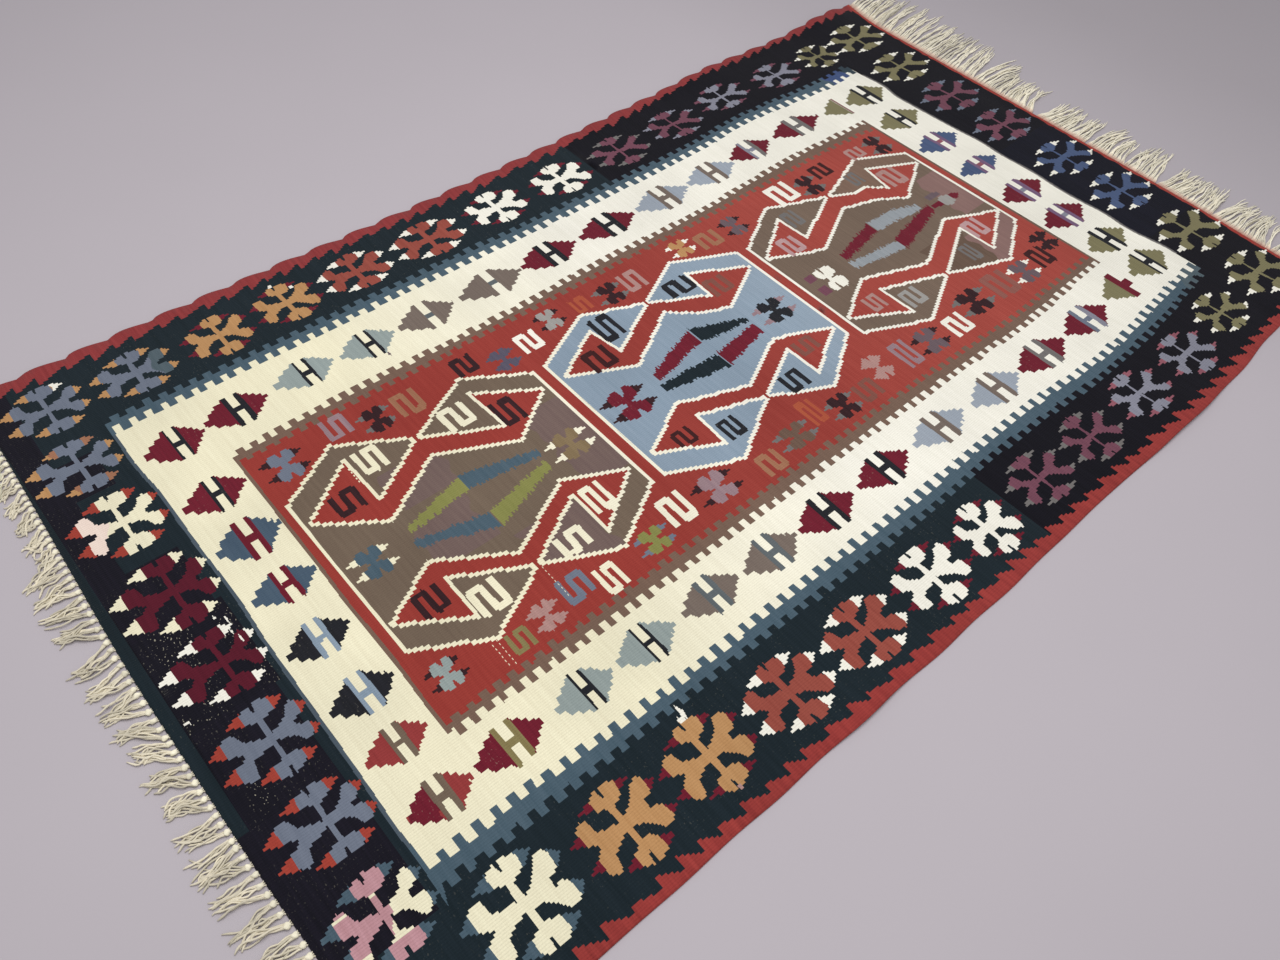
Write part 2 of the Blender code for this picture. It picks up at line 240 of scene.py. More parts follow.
# The plain end's yarns, in the same way
FAR_YARNS = 5  # in each lock
FAR_POINTS = 20
YARN_RADIUS = 0.00155
YARN_LENGTHS = (0.76, 1.08)
YARN_SWINGS = (0.0008, 0.0021)
YARN_STRAY = 0.0035
YARN_OVER = 0.0034
CRIMPS = (9, 17)  # in each metre
LOCK_GATHER = (0.55, 0.95)
LOCK_STRAY = 0.0075
YARN_PHASE = 0.7
FAR_TUCK = 0.0008  # how far inside the cloth's end they start
FAR_ROOT_RISE = 0.0008
YARN_SIZES = (0.85, 1.15)
YARN_SPREAD = 0.09
YARN_SIDES = 5
YARN_TWIST = 1.1
TINT_PART = 0.6  # how much the red weft tints the roots, and how soon that fades
TINT_FADE = 16

KNOT_HALF = (0.0046, 0.0048, 0.0037)  # half a knot's width, length and height
KNOT_ASIDE = 0.001
KNOT_INWARD = (0.1, 0.4)  # parts of the strip's width
KNOT_SIZES = (0.9, 1.15)
KNOT_SPREAD = 0.04
KNOT_ROWS = 8
KNOT_SIDES = 12
CREAM = (222, 214, 193)
PALE = (243, 237, 218)
KNOT_TONE = (250, 244, 220)
ROOT_TINT = (168, 96, 84)

# Stage, camera and light
FLOOR_SIZE = 14.0
FLOOR_COLOUR = (183, 177, 184)
FLOOR_NOISE = (1.3, 3.0)
FLOOR_SHADES = (0.985, 1.015)
FLOOR_ROUGHNESS = 0.7
FLOOR_SPECULAR = 0.2
FLOOR_GAP = 0.0002  # under the rug
FLOOR_PAINTED_FALLOFF = (0.7, 1.8, 1.0, 0.86)  # painted shade: from where to where the floor's colour is made darker beyond the rug, as the light falls off there, and how much
CAMERA_AT = (1.459, -0.154, 1.4165)
CAMERA_RIGHT = (0.6624, 0.7466, 0.0625)
CAMERA_FORWARD = (-0.4336, 0.4500, -0.7807)
SENSOR_WIDTH = 36.0
FOCAL_LENGTH = 28.35
WORLD_STRENGTH = 0.54
ROOM_COLOUR = (1.0, 0.985, 0.99, 1.0)
WINDOW_AT = (0.05, -0.45, 2.7)
WINDOW_AIM = (0.1, 0.0, 0.0)
WINDOW_SIZE = 2.4
WINDOW_POWER = 53.0
WINDOW_COLOUR = (1.0, 0.985, 0.96)

SEED = 20
chance = random.Random(SEED)


def curve_through(rows, x_name, y_name, x):
    """A smooth curve through two columns of a table: each point's slope comes from its neighbours."""
    xs = np.array([getattr(row, x_name) for row in rows])
    ys = np.array([getattr(row, y_name) for row in rows])
    slopes = np.gradient(ys, xs)
    i = np.clip(np.searchsorted(xs, x) - 1, 0, len(xs) - 2)
    span = xs[i + 1] - xs[i]
    t = np.clip((x - xs[i]) / span, 0.0, 1.0)
    start = (1 + 2 * t) * (1 - t) ** 2 * ys[i] + t * (1 - t) ** 2 * span * slopes[i]
    end = t * t * (3 - 2 * t) * ys[i + 1] + t * t * (t - 1) * span * slopes[i + 1]
    return start + end


left_line = partial(curve_through, LONG_EDGES, "along", "left")
right_line = partial(curve_through, LONG_EDGES, "along", "right")
near_end = partial(curve_through, SHORT_ENDS, "across", "near")
far_end = partial(curve_through, SHORT_ENDS, "across", "far")


def scallop(along):
    """0 to 1, once in each pitch of the left selvedge."""
    part = ((along - SCALLOP_START) / SCALLOP_PITCH) % 1.0
    return np.sin(math.pi * part**SCALLOP_LEAN)


def left_edge(along):
    return left_line(along) - SCALLOP_DEPTH * scallop(along)


def right_edge(along):
    swell = np.sin(2 * math.pi * along / RIGHT_WAVE_SWELL)
    wave = np.sin(2 * math.pi * along / RIGHT_WAVE_PITCH) * swell
    return right_line(along) + RIGHT_WAVE * wave


def rise(across, along, hump):
    r = np.hypot((across - hump.across) / hump.half_across, (along - hump.along) / hump.half_along)
    return hump.height * (1 - np.minimum(r, 1.0) ** 2) ** 2


def held_down(across, along):
    """0 at a short end, where the fringe holds the cloth to the floor, and 1 well inside."""
    from_end = np.minimum(along - near_end(across), far_end(across) - along)
    part = np.clip(from_end / END_REACH, 0.0, 1.0)
    return part * part * (3 - 2 * part)


def lift(across, along):
    """Height of the cloth's underside over the floor."""
    inward = (across - left_edge(along)) / SCALLOP_REACH
    ripple = SCALLOP_LIFT * scallop(along) * np.clip(1 - inward, 0.0, None) ** 2
    highest = np.max([rise(across, along, hump) for hump in RISES], axis=0)
    return held_down(across, along) * (ripple + highest)


def corner(long_edge, short_end):
    """Where a long edge meets a short end, found by going from one to the other a few times."""
    across = long_edge(0.0)
    for _ in range(5):
        along = short_end(across)
        across = long_edge(along)
    return float(across), float(along)


def steps(start, end, step):
    """Evenly spaced values from start up to, but not with, end."""
    return np.linspace(start, end, max(1, round(abs(end - start) / step)), endpoint=False)


def cloth_outline():
    """The cloth's rim on plan, anticlockwise from its near left corner."""
    near_left, near_right = corner(left_edge, near_end), corner(right_edge, near_end)
    far_left, far_right = corner(left_edge, far_end), corner(right_edge, far_end)
    points = [(x, near_end(x)) for x in steps(near_left[0], near_right[0], RIM_STEP)]
    points += [(right_edge(y), y) for y in steps(near_right[1], far_right[1], RIM_STEP)]
    points += [(x, far_end(x)) for x in steps(far_right[0], far_left[0], RIM_STEP)]
    points += [(left_edge(y), y) for y in steps(far_left[1], near_left[1], RIM_STEP)]
    return np.array(points, float)


def sides_of(points):
    """The sides of a closed outline, as pairs of points."""
    return list(zip(points, np.roll(points, -1, axis=0)))


def is_steep(low, high):
    """Whether the edge between two points of the grid is woven in steps."""
    return (high[1] - low[1]) * PICK > STEEP * abs(high[0] - low[0]) * WARP


def matched(number, starts, ends):
    """Start and end numbers, paired in the order of the array's rows."""
    return list(zip(number[starts].tolist(), number[ends].tolist()))


class Loom:
    """The pattern as a grid: cells[warp, pick] is the number of the yarn that shows there."""

    def __init__(self):
        self.picks = round((LAST_ALONG - FIRST_ALONG) / PICK)
        self.cells = np.zeros((WARPS + 2 * MARGIN, self.picks), int)
        self.ys = FIRST_ALONG + PICK * np.arange(self.picks + 1)
        self.lefts = left_line(self.ys)
        self.widths = right_line(self.ys) - self.lefts

    def span(self, y):
        """The left edge and the width at places along the rug."""
        return np.interp(y, self.ys, self.lefts), np.interp(y, self.ys, self.widths)

    def on_grid(self, points):
        """Plan points as (warp, pick)."""
        x, y = np.asarray(points, float).T
        left, width = self.span(y)
        return np.column_stack([MARGIN + (x - left) / width * WARPS, (y - FIRST_ALONG) / PICK])

    def on_plan(self, points):
        """Points given as (warp, pick), back on the plan."""
        warp, pick = np.asarray(points, float).T
        y = FIRST_ALONG + PICK * pick
        left, width = self.span(y)
        return np.column_stack([left + (warp - MARGIN) / WARPS * width, y])

    def weave(self, yarn, points):
        """Fills a plan polygon with a yarn, column by column between its sides."""
        grid = self.on_grid(points)
        first = max(0, math.ceil(grid[:, 0].min() - 0.5))
        last = min(len(self.cells) - 1, math.floor(grid[:, 0].max() - 0.5))
        for column in range(first, last + 1):
            middle = column + 0.5
            hits = sorted(
                a[1] + (middle - a[0]) / (b[0] - a[0]) * (b[1] - a[1])
                for a, b in sides_of(grid)
                if (a[0] <= middle) != (b[0] <= middle)
            )
            for low, high in zip(hits[::2], hits[1::2]):
                self.cells[column, max(0, round(low)) : max(0, round(high))] = NUMBERS[yarn]

    def across_at(self, a, b, pick):
        """The warp of an edge from a to b at a pick, with steep edges going over in steps."""
        low, high = (a, b) if a[1] <= b[1] else (b, a)
        if is_steep(low, high):
            pick = (math.floor(pick / LINE_STEP) + 0.5) * LINE_STEP
        part = (min(max(pick, low[1]), high[1]) - low[1]) / (high[1] - low[1])
        return low[0] + part * (high[0] - low[0])

    def weave_steps(self, yarn, points, ragged):
        """Fills a plan polygon pick by pick; ragged makes its slanting sides uneven."""
        grid = self.on_grid(points)
        sides = sides_of(grid)
        lowest = round(grid[:, 1].min())
        for pick in range(lowest, round(grid[:, 1].max())):
            middle = pick + 0.5
            if pick % 3 == 0 or pick == lowest:
                stray = [chance.uniform(-ragged, ragged) for _ in sides]
            hits = sorted(
                self.across_at(a, b, middle) + off
                for (a, b), off in zip(sides, stray)
                if (a[1] <= middle) != (b[1] <= middle)
            )
            for low, high in zip(hits[::2], hits[1::2]):
                self.cells[round(low) : round(high), pick] = NUMBERS[yarn]

    def line(self, yarn, points):
        """Weaves a line along a closed outline: level parts straight, steep parts in steps."""
        for a, b in sides_of(self.on_grid(points)):
            low, high = (a, b) if a[1] <= b[1] else (b, a)
            if is_steep(low, high):
                for pick in range(round(low[1]), round(high[1])):
                    first = round(self.across_at(a, b, pick + 0.5) - LINE_WARPS / 2)
                    self.cells[first : first + LINE_WARPS, pick] = NUMBERS[yarn]
                continue
            left, right = (a, b) if a[0] <= b[0] else (b, a)
            for column in range(round(left[0]) - 1, round(right[0]) + 1):
                pick = np.interp(column + 0.5, [left[0], right[0]], [left[1], right[1]])
                first = round(pick - LINE_PICKS / 2)
                self.cells[column, first : first + LINE_PICKS] = NUMBERS[yarn]

    def redye(self, row):
        """Gives a yarn another colour inside a rectangle, as where a weaver ran out of a batch."""
        box = self.on_grid([(row.left, row.near), (row.right, row.near), (row.left, row.far)])
        fast, slow = REDYE_BEATS
        for column in range(round(box[0][0]), round(box[1][0])):
            stray = round(REDYE_STRAY * math.sin(fast * column) * math.sin(slow * column))
            part = self.cells[column, round(box[0][1]) + stray : round(box[2][1]) + stray]
            part[part == NUMBERS[row.yarn]] = NUMBERS[row.into]

    def seams(self):
        """The grid corners where two yarns' edges turn or meet, and the straight edges between them."""
        cells = self.cells
        columns, rows = cells.shape
        level = np.zeros((columns + 2, rows + 1), bool)  # an edge at a pick line, one warp wide
        level[1:-1, 1:-1] = cells[:, :-1] != cells[:, 1:]
        upright = np.zeros((columns + 1, rows + 2), bool)  # an edge at a warp line, one pick high
        upright[1:-1, 1:-1] = cells[:-1] != cells[1:]
        left, right = level[:-1], level[1:]
        below, above = upright[:, :-1], upright[:, 1:]
        straight = (left == right) & (below == above) & (left != below)
        is_corner = (left | right | below | above) & ~straight
        number = np.full(is_corner.shape, -1)
        number[is_corner] = np.arange(np.count_nonzero(is_corner))
        edges = matched(number.T, (is_corner & right).T, (is_corner & left).T)
        edges += matched(number, is_corner & above, is_corner & below)
        return np.argwhere(is_corner), edges


loom = Loom()

# Shapes are drawn in their own units: half the shape's width and half its length are 1.
UNEVEN = 0.035  # how far a hand-woven shape's corners stray, in those units
EVEN = 0.02  # the same for the more even ones


def both_sides(half):
    """A shape with its right half's points, from the top of its middle line to the bottom, mirrored."""
    return list(half) + [(-u, v) for u, v in reversed(half) if u]


def box_of(row):
    """The middle, half width and half length of a row's rectangle."""
    middle = ((row.left + row.right) / 2, (row.near + row.far) / 2)
    return middle, (row.right - row.left) / 2, (row.far - row.near) / 2


def woven(yarn, points, centre, half_width, half_length, uneven=UNEVEN):
    """Weaves a shape given in its own units round a centre on the plan."""
    placed = []
    for u, v in points:
        u, v = u + chance.uniform(-uneven, uneven), v + chance.uniform(-uneven, uneven)
        placed.append((centre[0] + u * half_width, centre[1] + v * half_length))
    loom.weave(yarn, placed)


def band(yarn, left, right, near, far):
    """Weaves a rectangle."""
    loom.weave(yarn, [(left, near), (right, near), (right, far), (left, far)])


BOX = "left right near far yarn"


def bands(rows):
    for row in rows:
        band(row.yarn, row.left, row.right, row.near, row.far)


# The stripes beside the ivory border and the field, each edge toothed about a middle line
STRIPE = "along dark_left ivory_left umber_left red_left red_right umber_right ivory_right dark_right"
STRIPES = table(STRIPE, 9, (
    (-10, -32, -2, 173, 199, 838, 864, 994, 1030), (150, -31, -3, 176, 200, 838, 859, 996, 1034),
    (400, -31, -3, 170, 199, 835, 863, 1008, 1038), (700, -33, -4, 176, 199, 833, 862, 1010, 1043),
    (1000, -34, -5, 168, 196, 832, 864, 1016, 1050), (1300, -35, -6, 169, 195, 834, 866, 1014, 1049),
    (1450, -38, -10, 160, 190, 838, 868, 1018, 1056), (1600, -52, -25, 152, 186, 840, 870, 1027, 1063),
    (1750, -55, -25, 153, 184, 832, 860, 1022, 1056), (1900, -47, -14, 157, 188, 826, 850, 1008, 1044),
    (2070, -55, -24, 158, 188, 826, 850, 995, 1022),
))
Teeth = namedtuple("Teeth", "pitch length depth")
BLUE_TEETH = Teeth(0.0300, 0.0145, 0.014)
IVORY_TEETH = Teeth(0.0300, 0.0165, 0.018)
UMBER_TEETH = Teeth(0.0265, 0.0125, 0.015)
RED_TEETH = Teeth(0.0265, 0.0130, 0.012)
TOOTH_LENGTHS = (0.85, 1.15)  # the least and the most of each, as parts of the measures above
TOOTH_DEPTHS = (0.85, 1.12)
TOOTH_PITCHES = (0.97, 1.03)
# The level sides of the ivory border and of the field, which wander as a weaver's straight lines do
LEVELS = table("across border_near border_far field_near", 4, (
    (-40, -5, 2057, 128.5), (40, -3, 2066, 128.5), (80, -5, 2067, 128.5), (120, -4, 2057, 128.5),
    (180, 0, 2057, 128.5), (240, 0, 2058, 128), (300, -1, 2061, 127.5), (340, -2, 2064, 127),
    (400, 0, 2067, 126), (460, 0, 2063, 126.5), (520, -3, 2065, 124.6), (580, -5, 2064, 123),
    (640, -6, 2060, 123.5), (700, -7, 2062, 123.5), (760, -8, 2066, 121.7), (820, -9, 2061, 119.5),
    (880, -11, 2065, 119), (920, -12, 2071, 119), (980, -9, 2067, 119), (1060, -8, 2065, 119),
))
FIELD_FAR = 1.896


def toothed(edge, teeth, along_from, along_to, shift=0.0):
    """Points along a toothed edge, from near to far; the teeth are as uneven as hand work."""
    points = []
    along = along_from - shift * teeth.pitch
    while along < along_to:
        length = teeth.length * chance.uniform(*TOOTH_LENGTHS)
        reach = teeth.depth / 2 * chance.uniform(*TOOTH_DEPTHS)
        for side, start, finish in ((1, along, along + length), (-1, along + length, along + teeth.pitch)):
            start, finish = max(start, along_from), min(finish, along_to)
            if start < finish:
                across = float(curve_through(STRIPES, "along", edge, (start + finish) / 2)) + side * reach
                points += [(across, start), (across, finish)]
        along += teeth.pitch * chance.uniform(*TOOTH_PITCHES)
    return points


def level(name, across_from, across_to, off=0.0):
    """Points along a level line, or off from it, from left to right."""
    xs = steps(across_from, across_to, 0.02)
    return list(zip(xs.tolist(), (curve_through(LEVELS, "across", name, xs) + off).tolist()))


def toothed_panel(yarn, left, right, teeth, near, far, shifts=(0.0, 0.5)):
    """Weaves the panel between two toothed edges and two lines of points."""
    left_side = toothed(left, teeth, near[0][1], far[0][1], shifts[0])
    right_side = toothed(right, teeth, near[-1][1], far[-1][1], shifts[1])
    loom.weave(yarn, left_side + far + right_side[::-1] + near[::-1])


# The red selvedges: each tooth widens towards the near end and then jumps back
SAWS = table("along left right", 3, (
    (-200, -209, 1224), (300, -211, 1226), (800, -209, 1226), (1300, -226, 1226), (1700, -252, 1230),
    (1950, -256, 1214), (2350, -262, 1197),
))
SAW_PITCH = 0.047
SAW_DEPTH = 0.018
SAW_PITCHES = (0.75, 1.2)  # the least and the most, as parts of the pitch and of the depth
SAW_DEPTHS = (0.6, 1.2)
OUTSIDE = 0.02  # how far the selvedge's red is woven past the rug's edge


def selvedge(side, inward, outer, yarn):
    """Weaves one selvedge as far as outer; inward is 1 at the left edge and -1 at the right one."""
    points = []
    along = FIRST_ALONG
    while along < LAST_ALONG:
        pitch = SAW_PITCH * chance.uniform(*SAW_PITCHES)
        depth = SAW_DEPTH * chance.uniform(*SAW_DEPTHS)
        across = float(curve_through(SAWS, "along", side, along))
        points += [(across + inward * depth, along), (across + inward * depth * 0.8, along + pitch * 0.25)]
        points += [(across, along + pitch * 0.9), (across, along + pitch)]
        along += pitch
    loom.weave(yarn, points + [(outer, LAST_ALONG + OUTSIDE), (outer, FIRST_ALONG)])


# The crab motif of the outer border: right halves, from the top of the middle line down
BROAD_CRAB = parts((
    (0, 57), (9, 57), (13, 72), (18, 80), (52, 82), (62, 74), (60, 56), (38, 44), (22, 28), (13, 8),
    (46, 7), (50, 24), (58, 34), (88, 36), (97, 26), (100, 5), (76, 3.5), (76, -1), (99, -3), (95, -16),
    (86, -24), (60, -23), (50, -6), (13, -6), (19, -26), (30, -46), (58, -50), (66, -60), (56, -76),
    (16, -76), (11, -66), (0, -56),
))
NARROW_CRAB = parts((
    (0, 56), (8, 58), (13, 76), (17, 82), (47, 82), (55, 70), (50, 57), (28, 47), (18, 28), (11, 6),
    (50, 6), (54, 24), (62, 38), (90, 38), (97, 24), (100, 4), (80, 3), (80, -3), (99, -5), (93, -24),
    (62, -24), (54, -5), (11, -5), (17, -24), (26, -44), (58, -50), (63, -60), (54, -74), (15, -74),
    (12, -62), (0, -50),
))
SLIM_CRAB = parts((
    (0, 55), (9, 57), (19, 72), (25, 80), (46, 80), (55, 68), (40, 55), (22, 42), (11, 24), (9, 5), (52, 3),
    (56, 18), (64, 28), (88, 28), (96, 12), (96, 4), (80, 3), (80, -1), (95, -2), (90, -20), (66, -22),
    (55, -8), (52, -1.5), (9, -3), (13, -20), (26, -40), (54, -45), (60, -54), (50, -68), (20, -68),
    (12, -52), (0, -40),
))
# Its tips: from where to where the root runs, the root's height, and the point's place and height
BROAD_TIPS = parts((
    (17, 56, 80, 36, 100), (58, 95, 34, 77, 62), (58, 92, -22, 76, -54), (14, 54, -74, 32, -100),
))
NARROW_TIPS = parts((
    (15, 50, 80, 32, 100), (60, 95, 36, 78, 66), (60, 95, -22, 78, -54), (15, 56, -72, 34, -102),
))
SLIM_TIPS = parts((
    (26, 52, 74, 36, 98), (66, 91, 26, 78, 56), (67, 91, -18, 78, -48), (21, 47, -64, 34, -95),
))
TIP_WIDTHS = {"crimson": 0.68}  # some yarns' tips are narrower than the rest
TIP_TAPER = parts(((0, 100), (28, 86), (52, 55), (74, 28), (100, 16)))  # how far along, how wide
CRAB = "across along half_width up down body tips"
NEAR_CRABS = table(CRAB, 5, (
    (-120, -72, 66, 70, 75, "slate", "orange"), (40, -80, 66, 68, 83, "slate", "orange"),
    (199, -76, 72, 70, 84, "ivory", "coral"), (376, -72, 77, 66, 92, "wine", "ivory"),
    (540, -72, 66, 62, 90, "wine", "white"), (697, -78, 67, 66, 84, "slate", "coral"),
    (855, -80, 62, 66, 86, "slate", "coral"), (1010, -88, 64, 70, 80, "ivory", "steel"),
))
SIDE_CRABS = table(CRAB, 5, (
    (-115, 90, 60, 75, 80, "slate", "orange"), (-112, 257, 60, 68, 72, "orange", "crimson"),
    (-118, 405, 61, 74, 72, "orange", "crimson"), (-117, 565, 59, 80, 80, "rust", "white"),
    (-115, 745, 59, 86, 88, "rust", "white"), (-118, 926, 58, 84, 78, "white", "crimson"),
    (-116, 1110, 58, 86, 80, "white", "crimson"), (1120, 60, 72, 80, 88, "ivory", "steel"),
    (1126, 232, 68, 76, 80, "orange", "crimson"), (1128, 393, 64, 82, 82, "orange", "crimson"),
    (1135, 562, 62, 83, 84, "rust", "white"), (1140, 737, 62, 83, 86, "rust", "white"),
    (1143, 910, 62, 85, 85, "white", "crimson"), (1143, 1070, 60, 74, 72, "white", "crimson"),
))
FAR_CRABS = table(CRAB, 5, (
    (-120, 1298, 60, 87, 90, "plum", "pewter"), (-127, 1482, 58, 88, 88, "plum", "lilac"),
    (-145, 1670, 54, 90, 90, "lilac", "plum"), (-136, 1865, 56, 86, 86, "lilac", "plum"),
    (-136, 2035, 58, 66, 74, "olive", "white"), (1137, 1245, 60, 86, 86, "plum", "pewter"),
    (1140, 1413, 60, 84, 83, "plum", "pewter"), (1140, 1595, 60, 88, 88, "lilac", "rose"),
    (1140, 1782, 60, 86, 84, "lilac", "rose"), (1120, 1965, 58, 86, 86, "olive", "white"),
    (-137, 2197, 68, 100, 102, "olive", "white"), (36, 2186, 69, 98, 104, "olive", "white"),
    (212, 2180, 72, 98, 100, "plum", "slate"), (383, 2180, 67, 98, 100, "plum", "slate"),
    (567, 2190, 67, 94, 104, "denim", "white"), (735, 2184, 70, 96, 104, "denim", "white"),
    (925, 2178, 75, 100, 104, "olive", "white"), (1105, 2168, 72, 98, 104, "olive", "white"),
))


def tip_shapes(tips, width=1.0):
    """Each tip on the left and on the right: wide at its root, then tapering to a narrow finger."""
    for root_from, root_to, root_height, point_at, point_height in tips:
        height = point_height - root_height
        for side in (-1, 1):
            left, right = [
                [
                    (side * (point_at + (root - point_at) * share * width), root_height + part * height)
                    for part, share in TIP_TAPER
                ]
                for root in (root_from, root_to)
            ]
            yield left + right[::-1]


def crab(row, half, tips):
    def woven_stretched(yarn, points, uneven):
        """Weaves points with the crab's own reach above and below its middle."""
        points = [(u, v * (row.up if v > 0 else row.down)) for u, v in points]
        woven(yarn, points, (row.across, row.along), row.half_width, 1.0, uneven)

    lean = chance.uniform(-0.03, 0.03)
    for shape in tip_shapes(tips, TIP_WIDTHS.get(row.tips, 1.0)):
        woven_stretched(row.tips, shape, 0.0)
    body = [(u + lean * v + chance.uniform(-UNEVEN, UNEVEN), v) for u, v in both_sides(half)]
    woven_stretched(row.body, body, 0.001)


# The ivory border's motif: two stepped triangles, back to back on the bars of an H
HOOK_TOP = parts((
    (13, 100), (13, 87), (31, 86), (31, 73), (50, 72), (50, 59), (70, 57), (71, 43), (86, 39), (98, 32),
    (98, 24),
))
HOOK_BOTTOM = parts((
    (98, -10), (98, -20), (80, -25), (76, -30), (75, -47), (55, -51), (52, -73), (22, -78), (18, -100),
))
HOOK_STEM = 0.16
UPPER_BAR = 0.20  # where the upper bar starts and the lower one ends
LOWER_BAR = -0.04
THICK, THIN = 0.15, 0.09  # bar thicknesses
# The yarns are that of the triangles and that of the H, or else of its upper bar, lower bar and stem
HOOKS = table("across along half_width half_length yarns bar", 4, (
    (95, 68, 42, 56, "crimson ink", THIN), (241, 68, 41, 56, "crimson ink", THIN),
    (360, 67, 46, 57, "blueberry crimson", THICK), (477, 67, 37, 57, "blueberry crimson", THICK),
    (597, 58, 37, 54, "ink sky", THICK), (720, 60, 37, 54, "ink sky", THICK),
    (820, 55, 34, 52, "scarlet earth", THICK), (928, 57, 36, 53, "scarlet earth", THICK),
    (85, 190, 42, 62, "crimson ink", THICK), (78, 333, 40, 62, "mist ink", THIN),
    (84, 468, 40, 60, "mist ink", THIN), (85, 605, 41, 66, "taupe taupe taupe flint", THICK),
    (85, 765, 41, 78, "taupe taupe taupe flint", THICK), (83, 920, 41, 74, "crimson ink", THICK),
    (83, 1087, 41, 78, "crimson ink", THICK), (83, 1255, 42, 78, "haze taupe", THICK),
    (80, 1415, 40, 74, "haze taupe", THICK), (68, 1560, 40, 66, "crimson pewter lilac lilac", THICK),
    (65, 1730, 40, 84, "crimson pewter", THICK), (75, 1990, 44, 70, "olive ink", THICK),
    (203, 1978, 44, 70, "olive ink", THIN), (330, 1978, 41, 70, "denim mauve mauve rose", THICK),
    (455, 1980, 34, 70, "denim mauve mauve rose", THICK),
    (585, 1980, 43, 72, "crimson mauve mauve lilac", THICK),
    (705, 1980, 43, 72, "crimson mauve mauve lilac", THICK), (820, 1982, 43, 68, "olive ink", THICK),
    (925, 1985, 43, 68, "olive ink", THIN), (945, 1700, 40, 76, "crimson lilac slate slate", THICK),
    (948, 1530, 40, 78, "crimson pewter", THICK), (945, 1370, 40, 74, "haze taupe", THICK),
    (938, 1195, 38, 76, "haze taupe", THICK), (937, 1030, 38, 70, "crimson ink", THICK),
    (937, 872, 40, 70, "crimson ink", THICK), (935, 730, 38, 64, "taupe flint", THICK),
    (930, 590, 38, 62, "taupe flint", THICK), (930, 448, 37, 60, "mist ink", THIN),
    (930, 320, 37, 56, "mist ink", THIN), (926, 180, 38, 60, "crimson lichen", THICK),
))


def hook(row):
    place = ((row.across, row.along), row.half_width, row.half_length, EVEN)
    diamond, *others = row.yarns.split()
    upper, lower, stem = (3 * others)[:3]
    for half in (HOOK_TOP, HOOK_BOTTOM):
        woven(diamond, both_sides(half), *place)
    upper_edge, lower_edge = UPPER_BAR + row.bar, LOWER_BAR - row.bar
    upper_half = ((0.80, upper_edge + 0.02), (1.0, upper_edge - 0.04), (1.0, UPPER_BAR))
    woven(stem, both_sides(((HOOK_STEM, UPPER_BAR + 0.02), (HOOK_STEM, LOWER_BAR - 0.02))), *place)
    woven(upper, both_sides(upper_half), *place)
    woven(lower, both_sides(((1.0, LOWER_BAR), (1.0, lower_edge))), *place)


HALF_HOOKS = table("across along half_width half_length", 4, ((72, 1907, 42, 72), (933, 1865, 40, 68)))
HALF_HOOK_BARS = table(BOX, 4, (
    (31, 113, 1900, 1904, "crimson"), (889, 977, 1857, 1875, "crimson"), (923, 945, 1875, 1894, "crimson"),
))


def half_hooks():
    """At the border's far corners the weaver had room only for the lower triangle."""
    half = both_sides(HOOK_BOTTOM)
    for row in HALF_HOOKS:
        woven("olive", half, (row.across, row.along), row.half_width, row.half_length, EVEN)
    bands(HALF_HOOK_BARS)


# The S motif and its mirror image
S_BAR = 0.43  # thickness of its level bars
S_UPRIGHT = 0.42
S_SHAPE = (
    (0.96, 1), (-0.80, 1), (-1, 0.84), (-1, -0.04), (-0.84, -S_BAR / 2), (1 - S_UPRIGHT, -S_BAR / 2),
    (1 - S_UPRIGHT, S_BAR - 1), (-0.96, S_BAR - 1), (-0.96, -1), (0.80, -1), (1, -0.84), (1, 0.04),
    (0.84, S_BAR / 2), (S_UPRIGHT - 1, S_BAR / 2), (S_UPRIGHT - 1, 1 - S_BAR), (0.96, 1 - S_BAR),
)
LETTERS = table("left right near far yarn turn", 4, (
    (221, 270, 558, 605, "soot", -1), (230, 293, 417, 468, "clay", -1), (205, 262, 283, 331, "heather", 1),
    (361, 429, 552, 600, "soot", 1), (317, 377, 465, 523, "ivory", -1), (305, 367, 290, 338, "ivory", 1),
    (367, 419, 207, 260, "soot", 1), (622, 689, 553, 599, "ivory", -1), (678, 725, 453, 512, "ivory", 1),
    (671, 733, 279, 335, "ivory", -1), (622, 677, 205, 255, "soot", -1), (730, 795, 640, 695, "ivory", -1),
    (770, 827, 465, 507, "ivory", 1), (749, 802, 401, 455, "slate", 1), (777, 819, 279, 319, "lichen", 1),
    (230, 283, 1207, 1267, "clay", -1), (227, 287, 983, 1033, "ash", 1), (227, 273, 853, 892, "ember", 1),
    (243, 297, 698, 747, "white", -1), (353, 407, 1117, 1173, "cocoa", -1),
    (307, 357, 1041, 1110, "ink", -1), (298, 372, 845, 897, "ink", 1), (365, 425, 772, 831, "bark", -1),
    (603, 647, 1132, 1185, "cocoa", 1), (650, 703, 1040, 1092, "ink", 1), (661, 713, 859, 903, "ink", -1),
    (630, 670, 772, 815, "bark", -1), (760, 810, 1137, 1190, "cocoa", 1),
    (722, 790, 1013, 1050, "ember", -1), (770, 819, 853, 903, "clay", -1),
    (213, 255, 1740, 1790, "ash", -1), (207, 257, 1610, 1665, "bark", -1),
    (202, 273, 1461, 1530, "white", -1), (320, 387, 1735, 1792, "ash", -1),
    (280, 327, 1662, 1698, "pewter", 1), (292, 347, 1425, 1465, "pewter", -1),
    (355, 413, 1345, 1395, "pearl", -1), (573, 633, 1741, 1793, "pearl", -1),
    (623, 678, 1667, 1700, "pewter", -1), (639, 692, 1430, 1483, "ashen", -1),
    (600, 650, 1353, 1395, "ash", 1), (728, 790, 1775, 1828, "bark", -1),
    (720, 797, 1613, 1682, "smoulder", -1), (752, 810, 1435, 1492, "white", -1),
    (731, 805, 1283, 1327, "heather", -1),
))


